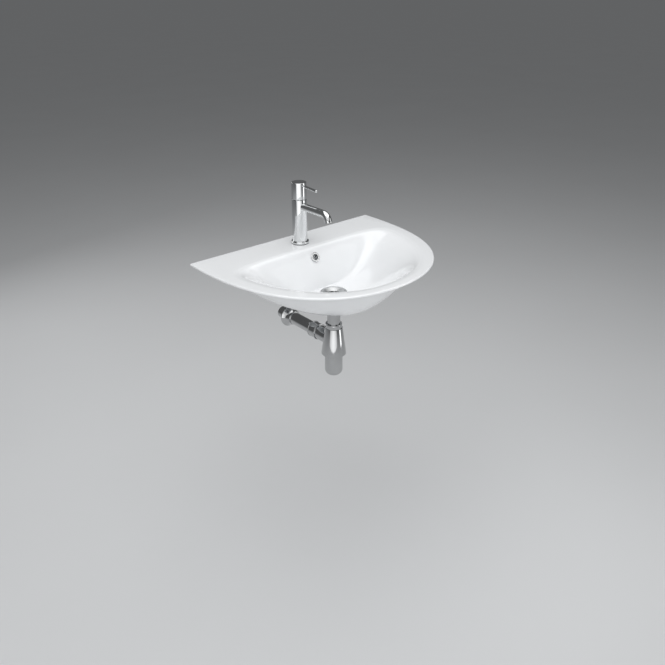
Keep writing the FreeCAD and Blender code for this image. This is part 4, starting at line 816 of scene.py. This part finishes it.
def rear_cavity(sizes):
    """The open space behind the bowl, as a block with rounded corners that narrows downwards."""
    bottom = sizes.rim_height - sizes.hull_depth - SPARE
    top = sizes.rim_height - sizes.deck_thickness
    growth = sizes.cavity_top_reach - sizes.cavity_bottom_reach
    reach = sizes.cavity_bottom_reach + growth * bottom / (bottom - top)
    corner, back = sizes.cavity_corner, -sizes.back_wall - sizes.cavity_corner
    loops = []
    for half_width, front, height in (
        (sizes.cavity_bottom_width / 2, sizes.cavity_bottom_reach, bottom),
        (sizes.fixing_spacing / 2 + sizes.cavity_beside_fixing, reach, 0.0),
        (sizes.cavity_top_width / 2, sizes.cavity_top_reach, top),
    ):
        side, ahead = half_width - corner, corner - front
        loop = []
        for quarter, (x, y) in enumerate(((side, back), (-side, back), (-side, ahead), (side, ahead))):
            for step in range(CAVITY_CORNER_STEPS + 1):
                bearing = math.pi / 2 * (quarter + step / CAVITY_CORNER_STEPS)
                loop.append((x + corner * math.cos(bearing), y + corner * math.sin(bearing), height))
        loops.append(loop)
    return loft(loops, "cavity", capped=True)


def overflow_mouth(sizes):
    """The middle of the overflow's mouth, and the way out of it."""
    way = Vector((0, -math.cos(sizes.overflow_pitch), math.sin(sizes.overflow_pitch)))
    return Vector((0, -sizes.overflow_setback, sizes.rim_height - sizes.overflow_drop)), way


class WASHBASIN_OT_ceramic(bpy.types.Operator):
    """Builds the glazed basin from rings, and cuts its cavity and holes"""

    bl_idname = "washbasin.ceramic"
    bl_label = "Ceramic basin"

    def execute(self, context):
        sizes = ceramic()
        rim = sizes.rim_height
        mouth, way = overflow_mouth(sizes)
        head = mouth - way * sizes.overflow_depth
        foot = Vector((0, head.y - sizes.duct_lean, floor_middle()))
        tools = [
            rear_cavity(sizes),
            rod_shape(sizes.tap_hole / 2, tap_axis() + up(rim - sizes.deck_thickness - SPARE),
                      tap_axis() + up(rim + SPARE)),
            rod_shape(sizes.overflow_hole / 2, head, mouth + way * SPARE),
            rod_shape(sizes.duct_bore / 2, foot, head),
            rod_shape(sizes.duct_foot_bore / 2, foot, drain_axis() + up(foot.z)),
        ]
        for x in (-sizes.fixing_spacing / 2, sizes.fixing_spacing / 2):
            tools.append(rod_shape(sizes.fixing_hole / 2, Vector((x, -sizes.back_wall - SPARE, 0)),
                                   Vector((x, SPARE, 0))))
        mesh = carve(basin_surface(sizes), tools)
        piece_from("ceramic_basin", mesh, "basin", "glaze")
        return {"FINISHED"}


class WASHBASIN_OT_overflow_ring(bpy.types.Operator):
    """Builds the chrome ring of the overflow"""

    bl_idname = "washbasin.overflow_ring"
    bl_label = "Overflow ring"

    def execute(self, context):
        sizes = ceramic()
        mouth, way = overflow_mouth(sizes)
        bore, outer = sizes.overflow_ring_bore / 2, sizes.overflow_ring_width / 2
        sleeve, deep = sizes.overflow_hole / 2 - trap().fit, -sizes.overflow_ring_sleeve
        lip = sizes.overflow_ring_lip
        ring = lathe([
            (bore, deep, 0), (sleeve, deep, 0), (sleeve, 0, 0), (outer, 0, 0),
            (outer, lip, lip * OUTER_ROUND), (bore, lip, lip * INNER_ROUND),
        ], towards(mouth + way * sizes.overflow_ring_stand, way), RING_STEPS)
        piece_from("overflow_trim", ring, "overflow_ring")
        return {"FINISHED"}


# Tap

# How far a cut from the axis goes, in radii of the piece.
CUT_REACH = 1.3
SPOUT_CUT_REACH = 1.2
SPOUT_BEND_STEPS = 40
SPOUT_ROUND_STEPS = 72
# A rod's rounded end, a hair under its radius, so that its outline keeps its last point.
ROD_END_ROUND = 0.999
# Room at the end of the lever rod's spigot, in fits.
SPIGOT_ROOM = 4
# The thin edge of the wedge behind the cap, in front of the axis and below the cap.
WEDGE_AHEAD = 0.1 * MM
WEDGE_BELOW = MM


class WASHBASIN_OT_tap_column(bpy.types.Operator):
    """Builds the tap's base ring and its turned body with the bores"""

    bl_idname = "washbasin.tap_column"
    bl_label = "Tap column"

    def execute(self, context):
        sizes = tap()
        place = upright(tap_axis(), ceramic().rim_height)
        edge, shank, radius = sizes.edge, sizes.shank_radius, sizes.radius
        foot, foot_top, top = -sizes.shank_reach, sizes.foot_top, sizes.height
        ring_foot, ring_radius = foot_top - sizes.base_ring_height, sizes.base_ring_radius
        bore = shank + trap().fit
        ring = lathe([
            (bore, ring_foot, 0), (ring_radius, ring_foot, edge),
            (ring_radius, foot_top, sizes.base_ring_round), (bore, foot_top, 0),
        ], place)
        piece_from("tap_base_ring", ring, "base_ring")
        seat, shoulder = sizes.cartridge_seat, top - sizes.bonnet_depth
        column = lathe([
            (0, foot, 0), (shank, foot, edge), (shank, foot_top, 0), (radius, foot_top, edge),
            (radius, top, edge), (sizes.bonnet_radius, top, edge), (sizes.bonnet_radius, shoulder, 0),
            (sizes.cartridge_radius, shoulder, 0), (sizes.cartridge_radius, seat, 0), (0, seat, 0),
        ], place)
        below = foot - SMALL_SPARE
        tools = []
        for x in (-sizes.inlet_spread / 2, sizes.inlet_spread / 2):
            y = -sizes.inlet_forward
            tools.append(self.bore(place, sizes.inlet_radius, x, y, below, foot + sizes.inlet_depth))
            tools.append(self.bore(place, sizes.passage_radius, x, y, foot, seat + SMALL_SPARE))
        tools.append(self.bore(place, sizes.stud_radius, 0, sizes.stud_back, below, foot + sizes.stud_depth))
        start = place @ up(sizes.spout_height)
        tools.append(rod_shape(sizes.spout_radius + trap().fit, start,
                               start - Vector((0, radius * SPOUT_CUT_REACH, 0)), RING_STEPS))
        piece_from("tap_column", carve(column, tools), "tap_body")
        return {"FINISHED"}

    def bore(self, place, radius, x, y, low, high):
        return rod_shape(radius, place @ Vector((x, y, low)), place @ Vector((x, y, high)), BORE_STEPS)


def spout_nodes():
    """A node group that sweeps a round tube along a bent path."""
    tree, identifiers = node_group("bent_tube", {
        "Bend radius": "Float", "Tube radius": "Float", "Finish": "Material",
    })
    given = add_node(tree, "NodeGroupInput", (0, 0))
    path = add_node(tree, "GeometryNodeMeshToCurve", (1, 0))
    fillet = add_node(tree, "GeometryNodeFilletCurve", (2, 0), mode="POLY", Count=SPOUT_BEND_STEPS)
    section = add_node(tree, "GeometryNodeCurvePrimitiveCircle", (2, 2), Resolution=SPOUT_ROUND_STEPS)
    sweep = add_node(tree, "GeometryNodeCurveToMesh", (3, 0))
    link(tree,
         (given, "Geometry", path, "Mesh"),
         (path, "Curve", fillet, "Curve"),
         (given, "Bend radius", fillet, "Radius"),
         (given, "Tube radius", section, "Radius"),
         (fillet, "Curve", sweep, "Curve"),
         (section, "Curve", sweep, "Profile Curve"))
    end_group(tree, given, sweep, "Mesh")
    return tree, identifiers


class WASHBASIN_OT_spout(bpy.types.Operator):
    """Sweeps the spout along its bent axis"""

    bl_idname = "washbasin.spout"
    bl_label = "Spout"

    def execute(self, context):
        sizes = tap()
        axis = tap_axis() + up(ceramic().rim_height + sizes.spout_height)
        turn = sizes.spout_angle
        last = sizes.spout_bend * math.tan(turn / 2) + sizes.spout_tip
        down = Vector((0, -math.cos(turn), -math.sin(turn)))
        corner = axis + Vector((0, -sizes.spout_reach + last * math.cos(turn), 0))
        start = axis - Vector((0, sizes.radius - sizes.spout_seat, 0))
        path = bpy.data.meshes.new("path")
        path.from_pydata([start, corner, corner + down * last], [(0, 1), (1, 2)], [])
        mesh = grown(path, spout_nodes(), {
            "Bend radius": sizes.spout_bend, "Tube radius": sizes.spout_radius, "Finish": finish_of("chrome"),
        }, sizes.spout_wall)
        face_outward(mesh)
        smooth_by_angle(mesh)
        piece_from("tap_spout", mesh, "spout_tube")
        return {"FINISHED"}


class WASHBASIN_OT_handle(bpy.types.Operator):
    """Builds the handle cap and its lever rod"""

    bl_idname = "washbasin.handle"
    bl_label = "Handle"

    def execute(self, context):
        sizes, fit = tap(), trap().fit
        place = upright(tap_axis(), ceramic().rim_height + sizes.height + sizes.cap_gap)
        axis = place.translation
        edge, radius, cavity = sizes.edge, sizes.radius, sizes.cap_cavity
        blank = lathe([
            (0, cavity, 0), (sizes.cap_bore, cavity, 0), (sizes.cap_bore, 0, edge), (radius, 0, edge),
            (radius, sizes.cap_height, sizes.cap_round), (0, sizes.cap_height, 0),
        ], place)
        half, behind = sizes.cap_socket / 2, radius * CUT_REACH
        grub = axis + up(sizes.grub_height)
        root = axis + Vector((0, -radius, sizes.cap_height - sizes.rod_below_top))
        out = Vector((0, -math.cos(sizes.rod_droop), -math.sin(sizes.rod_droop)))
        spigot, deep = sizes.rod_spigot_radius, sizes.rod_spigot_length
        tools = [
            box_shape(axis + Vector((-half, -half, cavity - half)),
                      axis + Vector((half, half, cavity + sizes.cap_socket_depth))),
            self.relief(axis, behind, math.tan(sizes.lift)),
            rod_shape(sizes.grub_radius, grub, grub + Vector((0, behind, 0))),
            rod_shape(spigot + fit, root - out * (deep + SPIGOT_ROOM * fit), root + out * deep),
        ]
        piece_from("handle", carve(blank, tools), "handle_cap", body="handle")
        thick, stand, end = sizes.rod_radius, sizes.rod_stand, sizes.rod_length
        rod = lathe([
            (0, -deep, 0), (spigot, -deep, 0), (spigot, stand, 0), (thick, stand, edge / 2),
            (thick, end, thick * ROD_END_ROUND), (0, end, 0),
        ], towards(root, out), ROD_STEPS)
        piece_from("handle_lever", rod, "lever_rod", body="handle")
        return {"FINISHED"}

    def relief(self, axis, behind, slope):
        """A wedge behind the axis, which lets the cap tip back."""
        profile = ((0, 0), (-WEDGE_AHEAD, -WEDGE_BELOW), (behind, -WEDGE_BELOW), (behind, behind * slope))
        sides = [[axis + Vector((x, y, z)) for y, z in profile] for x in (-behind, behind)]
        return loft(sides, "relief", capped=True)


# Waste and trap

RIB_STEPS = 20
CONE_STEPS = 160
FLARE_STEPS = 18
# Rounding of the waste's dish and of the collar nut's top.
SOFT_ROUND = MM
COLLAR_LIP = 2 * MM
WALLWARD = (0, 1, 0)


def rib_nodes():
    """A node group that sets upright ribs round a nut and joins them to it."""
    tree, identifiers = node_group("ribbed_nut", {
        "Ribs": "Int", "Ring radius": "Float", "Rib radius": "Float", "Rib height": "Float",
        "Finish": "Material",
    })
    given = add_node(tree, "NodeGroupInput", (0, 0))
    circle = add_node(tree, "GeometryNodeMeshCircle", (1, 1))
    rib = add_node(tree, "GeometryNodeMeshCylinder", (1, 2), Vertices=RIB_STEPS)
    scatter = add_node(tree, "GeometryNodeInstanceOnPoints", (3, 1))
    join = add_node(tree, "GeometryNodeJoinGeometry", (4, 0))
    link(tree,
         (given, "Ribs", circle, "Vertices"),
         (given, "Ring radius", circle, "Radius"),
         (given, "Rib radius", rib, "Radius"),
         (given, "Rib height", rib, "Depth"),
         (circle, "Mesh", scatter, "Points"),
         (rib, "Mesh", scatter, "Instance"),
         (given, "Geometry", join, "Geometry"),
         (scatter, "Instances", join, "Geometry"))
    end_group(tree, given, join, "Geometry")
    return tree, identifiers


class WASHBASIN_OT_waste(bpy.types.Operator):
    """Builds the waste, its ribbed union nut and the tube down into the trap"""

    bl_idname = "washbasin.waste"
    bl_label = "Waste"

    def execute(self, context):
        self.make_body(trap())
        self.make_union(trap())
        self.make_tube(trap())
        return {"FINISHED"}

    def make_body(self, sizes):
        low, top = height_span("waste_body")
        place = upright(drain_axis(), top)
        foot, flange = low - top, sizes.flange_height
        hub, tail, bore = sizes.hub_radius, sizes.tail_radius, sizes.tail_bore
        hub_foot = -sizes.dish_depth - sizes.bar
        body = lathe([
            (bore, foot, 0), (tail, foot, tap().edge), (tail, hub_foot, 0), (hub, hub_foot, 0),
            (hub, -flange, 0), (sizes.flange_radius, -flange, 0),
            (sizes.flange_radius, 0, flange * OUTER_ROUND), (sizes.dish_radius, 0, SOFT_ROUND),
            (bore, -sizes.dish_depth, SOFT_ROUND),
        ], place)
        middle = drain_axis() + up(floor_middle())
        reach = Vector((sizes.slot_width / 2, tail * CUT_REACH, sizes.slot_height / 2))
        body = carve(body, [box_shape(middle - reach, middle + reach)])
        half, span = sizes.bar / 2, bore + sizes.bar / 2
        bars = []
        for turn in (math.pi / 4, math.pi * 3 / 4):
            bar = box_shape((-span, -half, hub_foot), (span, half, hub_foot + sizes.bar))
            bar.transform(place @ Matrix.Rotation(turn, 4, "Z"))
            bars.append(bar)
        piece_from("waste", carve(body, bars, "UNION"), "waste_body", "satin")

    def make_union(self, sizes):
        low, high = height_span("inlet_nut")
        bore, wide = sizes.pipe_radius + sizes.fit, sizes.tail_radius + sizes.fit
        outer, edge = sizes.union_radius, tap().edge
        tall, half = high - low, (high - low) / 2
        nut = lathe([
            (bore, -half, 0), (outer, -half, edge * 2), (outer, half, edge * 2), (wide, half, edge),
            (wide, sizes.union_lip - half, 0), (bore, sizes.union_lip - half, 0),
        ], Matrix.Identity(4))
        mesh = grown(nut, rib_nodes(), {
            "Ribs": sizes.union_ribs, "Ring radius": outer, "Rib radius": sizes.union_rib, "Rib height": tall,
            "Finish": finish_of("trap_chrome"),
        })
        mesh.transform(upright(drain_axis(), (low + high) / 2))
        smooth_by_angle(mesh)
        piece_from("waste_union", mesh, "inlet_nut", "trap_chrome")

    def make_tube(self, sizes):
        low, high = height_span("inlet_tube")
        radius, flange = sizes.pipe_radius, sizes.tube_flange_radius
        bore, tall = radius - sizes.pipe_wall, high - low
        under = tall - sizes.tube_flange_height
        tube = lathe([
            (bore, 0, 0), (radius, 0, 0), (radius, under, 0), (flange, under, 0), (flange, tall, 0),
            (bore, tall, 0),
        ], upright(drain_axis(), low))
        piece_from("waste_tube", tube, "inlet_tube", "trap_chrome")


class WASHBASIN_OT_trap(bpy.types.Operator):
    """Builds the bottle trap: collar nut, cone with its outlet boss, and cup"""

    bl_idname = "washbasin.trap"
    bl_label = "Trap"

    def execute(self, context):
        self.make_collar(trap())
        self.make_cone(trap())
        self.make_cup(trap())
        return {"FINISHED"}

    def make_collar(self, sizes):
        low, high = height_span("collar_nut")
        tall, seal_top = high - low, high - low - COLLAR_LIP
        thread, bore = sizes.neck_radius + sizes.fit, sizes.pipe_radius + sizes.fit
        outer, edge = sizes.collar_radius, tap().edge
        collar = lathe([
            (thread, 0, 0), (outer, 0, edge), (outer, tall, SOFT_ROUND), (bore, tall, edge),
            (bore, seal_top, 0), (thread, seal_top, 0),
        ], upright(drain_axis(), low))
        piece_from("trap_collar", collar, "collar_nut", "trap_chrome")

    def make_cone(self, sizes):
        neck_top = height_span("trap_body")[1]
        place = upright(drain_axis(), neck_top - sizes.neck_height)
        foot, wall, neck, edge = -sizes.cone_height, sizes.trap_wall, sizes.neck_height, tap().edge
        top, base = sizes.cone_top_radius, sizes.cone_bottom_radius
        outside = lathe([
            (0, foot, 0), (base, foot, wall / 2), (top, 0, edge), (sizes.neck_radius, 0, 0),
            (sizes.neck_radius, neck, 0), (0, neck, 0),
        ], place, CONE_STEPS)
        outlet = towards(drain_axis() + outlet_axis(), WALLWARD)
        reach, thread = sizes.boss_reach, sizes.boss_thread_radius
        end = reach + sizes.boss_thread_length
        boss = lathe([
            (0, 0, 0), (sizes.boss_radius, 0, 0), (sizes.boss_radius, reach, edge * 2), (thread, reach, 0),
            (thread, end, 0), (0, end, 0),
        ], outlet)
        pipe, mouth = sizes.pipe_radius + sizes.fit, sizes.cup_spigot_radius + sizes.fit
        below, above = foot - SMALL_SPARE, neck + SMALL_SPARE
        # Half a step's turn keeps the inside's edges off those of the outside.
        inside = lathe([
            (0, below, 0), (mouth, below, 0), (mouth, foot + wall, 0), (base - wall, foot + wall, 0),
            (top - wall, -wall, 0), (pipe, -wall, 0), (pipe, above, 0), (0, above, 0),
        ], place @ Matrix.Rotation(math.pi / CONE_STEPS, 4, "Z"), CONE_STEPS)
        seat, past = end - sizes.pipe_engagement, end + SMALL_SPARE
        bore = lathe([
            (0, 0, 0), (sizes.boss_bore, 0, 0), (sizes.boss_bore, seat, 0), (pipe, seat, 0), (pipe, past, 0),
            (0, past, 0),
        ], outlet, RING_STEPS)
        cone = carve(carve(outside, [boss], "UNION"), [inside, bore])
        piece_from("trap_cone", cone, "trap_body", "trap_chrome")

    def make_cup(self, sizes):
        low, high = height_span("trap_cup")
        radius, seal, tall = sizes.cup_radius, sizes.cup_height, high - low
        spigot, wall, corner = sizes.cup_spigot_radius, sizes.trap_wall, sizes.cup_round
        bore = spigot - wall
        cup = lathe([
            (0, 0, 0), (radius, 0, corner), (radius, seal, tap().edge), (spigot, seal, 0), (spigot, tall, 0),
            (bore, tall, 0), (bore, wall, corner - wall), (0, wall, 0),
        ], upright(drain_axis(), low))
        piece_from("trap_bottle", cup, "trap_cup", "trap_chrome")


class WASHBASIN_OT_outlet(bpy.types.Operator):
    """Builds the outlet pipe, its nut and the flange at the wall"""

    bl_idname = "washbasin.outlet"
    bl_label = "Outlet"

    def execute(self, context):
        self.make_nut(trap())
        self.make_pipe(trap())
        self.make_rose(trap())
        return {"FINISHED"}

    def along(self, y):
        return towards(outlet_axis() + Vector((0, y, 0)), WALLWARD)

    def make_nut(self, sizes):
        low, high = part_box("outlet_nut")
        thread, bore = sizes.boss_thread_radius + sizes.fit, sizes.pipe_radius + sizes.fit
        radius, width, edge = sizes.nut_radius, sizes.nut_bead_width, tap().edge
        bead, end = radius + sizes.nut_bead, high.y - low.y
        seat = end - sizes.nut_lip
        nut = lathe([
            (thread, 0, 0), (bead, 0, edge * 2), (bead, width, edge * 2), (radius, width, edge / 2),
            (radius, end - width, edge / 2), (bead, end - width, edge * 2), (bead, end, edge * 2),
            (bore, end, edge), (bore, seat, 0), (thread, seat, 0),
        ], self.along(low.y))
        piece_from("outlet_union", nut, "outlet_nut", "trap_chrome")

    def make_pipe(self, sizes):
        low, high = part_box("outlet_pipe")
        radius, wall_face, end = sizes.pipe_radius, -low.y, high.y - low.y
        inner, bead = radius - sizes.pipe_wall, radius + sizes.pipe_bead
        bead_start = wall_face - sizes.pipe_bead_width
        pipe = lathe([
            (inner, 0, 0), (radius, 0, 0), (radius, bead_start, 0), (bead, bead_start, 0),
            (bead, wall_face, 0), (radius, wall_face, 0), (radius, end, 0), (inner, end, 0),
        ], self.along(low.y))
        piece_from("drain_pipe", pipe, "outlet_pipe", "trap_chrome")

    def make_rose(self, sizes):
        """A bell of sheet metal, hollow towards the wall."""
        radius, neck, depth = sizes.rose_radius, sizes.rose_neck, sizes.rose_depth
        sheet, curve = sizes.rose_thickness, sizes.rose_curve
        start, bore = depth - sizes.rose_rim, sizes.pipe_radius + sizes.fit
        outside = self.flare((neck, 0), (radius, start), curve)
        inside = self.flare((neck - sheet, sheet), (radius - sheet, start + sheet / 2), curve + sheet)
        bell = lathe([
            (bore, 0, 0), *outside, (radius, depth, 0), (radius - sheet, depth, 0), *inside[::-1],
            (bore, sheet, 0),
        ], self.along(-depth))
        piece_from("wall_rose", bell, "wall_flange", "trap_chrome")

    def flare(self, start, end, curve):
        """Points of a hollow arc from the neck to the rim."""
        first, last = Vector(start), Vector(end)
        chord = last - first
        across = Vector((chord.y, -chord.x)).normalized()
        centre = (first + last) / 2 + across * math.sqrt(curve ** 2 - (chord.length / 2) ** 2)
        begin = math.atan2(*(first - centre).yx)
        turn = shortest_turn(begin, math.atan2(*(last - centre).yx))
        bearings = [begin + turn * step / FLARE_STEPS for step in range(FLARE_STEPS + 1)]
        return [(centre.x + curve * math.cos(bearing), centre.y + curve * math.sin(bearing), 0)
                for bearing in bearings]


class WASHBASIN_OT_inner_pieces(bpy.types.Operator):
    """Gives the nodes that keep their CAD shape their finishes"""

    bl_idname = "washbasin.inner_pieces"
    bl_label = "Inner pieces"

    finishes_by_slot = {
        "glazed_ceramic": "glaze", "chrome": "chrome", "steel": "steel", "brass": "brass",
        "rubber": "rubber", "plastic": "plastic", "disc_ceramic": "alumina",
    }
    plated = ("bonnet_nut", "waste_backnut")

    def execute(self, context):
        slots = {item["node"]: item["material_slot"] for item in frame["record"]["subparts"]}
        for name, node in frame["nodes"].items():
            if not node.hide_render:
                finish = "satin" if name in self.plated else self.finishes_by_slot[slots[name]]
                node.data.materials.clear()
                node.data.materials.append(finish_of(finish))
        return {"FINISHED"}


# Studio

SENSOR_WIDTH = 36.0
# How far the camera sees, in reaches of the floor.
CLIP_REACH = 4
# The camera's place from the middle of the rim at the wall, and the way it looks.
CAMERA_PLACE = (-0.9287, -1.2389, 0.5496)
CAMERA_WAY = (0.5804, 0.6653, -0.4696)
EVEN_LIGHT = (0.98, 0.99, 1.0, 1)
AIM_AT_BOWL = (0, -0.18, 0)
AIM_AT_TRAP = (0, -0.18, -0.2)
# Width and height of each lamp, its place, what it looks at, and its spread in degrees.
LAMPS = {
    "key": ((4.0, 4.0), (-1.3, -1.3, 2.1), AIM_AT_BOWL, 180),
    "top": ((2.8, 2.4), (0.1, -0.35, 1.9), AIM_AT_BOWL, 180),
    "front": ((2.6, 1.1), (-1.1, -1.3, -0.2), AIM_AT_TRAP, 100),
    "side": ((0.5, 1.1), (1.05, -1.45, -0.2), AIM_AT_TRAP, 70),
    "fill": ((0.9, 0.9), (1.45, -1.93, 0.95), AIM_AT_BOWL, 180),
    "back": ((1.2, 0.9), (-0.5, 2.2, 0.6), AIM_AT_BOWL, 180),
}


class WASHBASIN_OT_stage(bpy.types.Operator):
    """Builds the floor, the lights and the camera"""

    bl_idname = "washbasin.stage"
    bl_label = "Studio"

    def execute(self, context):
        settings = stage_settings()
        scene = context.scene
        scene.view_settings.view_transform = "Standard"
        self.make_floor(settings)
        for name, (size, place, target, spread) in LAMPS.items():
            lamp = bpy.data.lights.new(name, "AREA")
            lamp.energy = getattr(settings, f"{name}_power")
            lamp.spread = math.radians(spread)
            lamp.shape = "RECTANGLE"
            lamp.size, lamp.size_y = size
            self.aim(put(name, lamp), Vector(place), Vector(target) - Vector(place))
        scene.world = self.make_world(settings)
        camera = bpy.data.cameras.new("camera")
        camera.sensor_width = SENSOR_WIDTH
        camera.lens = settings.lens
        camera.clip_end = CLIP_REACH * settings.floor_reach
        scene.camera = put("camera", camera)
        self.aim(scene.camera, Vector(CAMERA_PLACE) + up(ceramic().rim_height), Vector(CAMERA_WAY))
        return {"FINISHED"}

    def aim(self, thing, place, way):
        """Puts a lamp or the camera at a place and turns it along a way."""
        thing.location = place
        thing.rotation_euler = way.to_track_quat("-Z", "Y").to_euler()

    def make_world(self, settings):
        """Even light, which the eye and polished metal see in the tone of the floor far off."""
        world = bpy.data.worlds.new("studio")
        world.use_nodes = True
        tree = world.node_tree
        tree.nodes.clear()
        level = settings.world_level
        even = add_node(tree, "ShaderNodeBackground", (2, 0), Strength=level, Color=EVEN_LIGHT)
        seen = add_node(tree, "ShaderNodeBackground", (2, 1), Strength=level, Color=(*finishes().floor, 1))
        rays = add_node(tree, "ShaderNodeLightPath", (0, 0))
        mirrored = add_node(tree, "ShaderNodeMath", (1, 0), operation="MAXIMUM")
        either = add_node(tree, "ShaderNodeMath", (1, 1), operation="MAXIMUM")
        mix = add_node(tree, "ShaderNodeMixShader", (3, 0))
        output = add_node(tree, "ShaderNodeOutputWorld", (4, 0))
        link(tree,
             (rays, "Is Glossy Ray", mirrored, 0),
             (rays, "Is Transmission Ray", mirrored, 1),
             (rays, "Is Camera Ray", either, 0),
             (mirrored, "Value", either, 1),
             (either, "Value", mix, "Fac"),
             (even, "Background", mix, 1),
             (seen, "Background", mix, 2),
             (mix, "Shader", output, "Surface"))
        return world

    def make_floor(self, settings):
        shape = bmesh.new()
        bmesh.ops.create_grid(shape, x_segments=1, y_segments=1, size=settings.floor_reach)
        bmesh.ops.translate(shape, verts=shape.verts, vec=up(ceramic().rim_height - settings.floor_drop))
        mesh = mesh_of(shape, "floor")
        mesh.materials.append(finish_of("floor"))
        put("floor", mesh)


OPERATORS = (
    WASHBASIN_OT_ceramic, WASHBASIN_OT_overflow_ring, WASHBASIN_OT_tap_column, WASHBASIN_OT_spout,
    WASHBASIN_OT_handle, WASHBASIN_OT_waste, WASHBASIN_OT_trap, WASHBASIN_OT_outlet,
    WASHBASIN_OT_inner_pieces, WASHBASIN_OT_stage,
)
GROUPS = {
    "washbasin_ceramic": WashbasinCeramic,
    "washbasin_tap": WashbasinTap,
    "washbasin_trap": WashbasinTrap,
    "washbasin_finishes": WashbasinFinishes,
    "washbasin_stage": WashbasinStage,
}


class WASHBASIN_PT_panel(bpy.types.Panel):
    """Lists the washbasin's operators and settings"""

    bl_label = "Washbasin"
    bl_idname = "WASHBASIN_PT_panel"
    bl_space_type = "VIEW_3D"
    bl_region_type = "UI"
    bl_category = "Washbasin"

    def draw(self, context):
        for operator in OPERATORS:
            self.layout.operator(operator.bl_idname)
        for name, group in GROUPS.items():
            box = self.layout.box()
            for key in group.__annotations__:
                box.prop(getattr(context.scene, name), key)


def register():
    for name, group in GROUPS.items():
        bpy.utils.register_class(group)
        setattr(bpy.types.Scene, name, PointerProperty(type=group))
    for operator in OPERATORS:
        bpy.utils.register_class(operator)
    bpy.utils.register_class(WASHBASIN_PT_panel)


def unregister():
    bpy.utils.unregister_class(WASHBASIN_PT_panel)
    for operator in reversed(OPERATORS):
        bpy.utils.unregister_class(operator)
    for name, group in reversed(GROUPS.items()):
        delattr(bpy.types.Scene, name)
        bpy.utils.unregister_class(group)


def main():
    register()
    for operator in OPERATORS:
        family, name = operator.bl_idname.split(".")
        getattr(getattr(bpy.ops, family), name)()


if __name__ == "__main__":
    main()
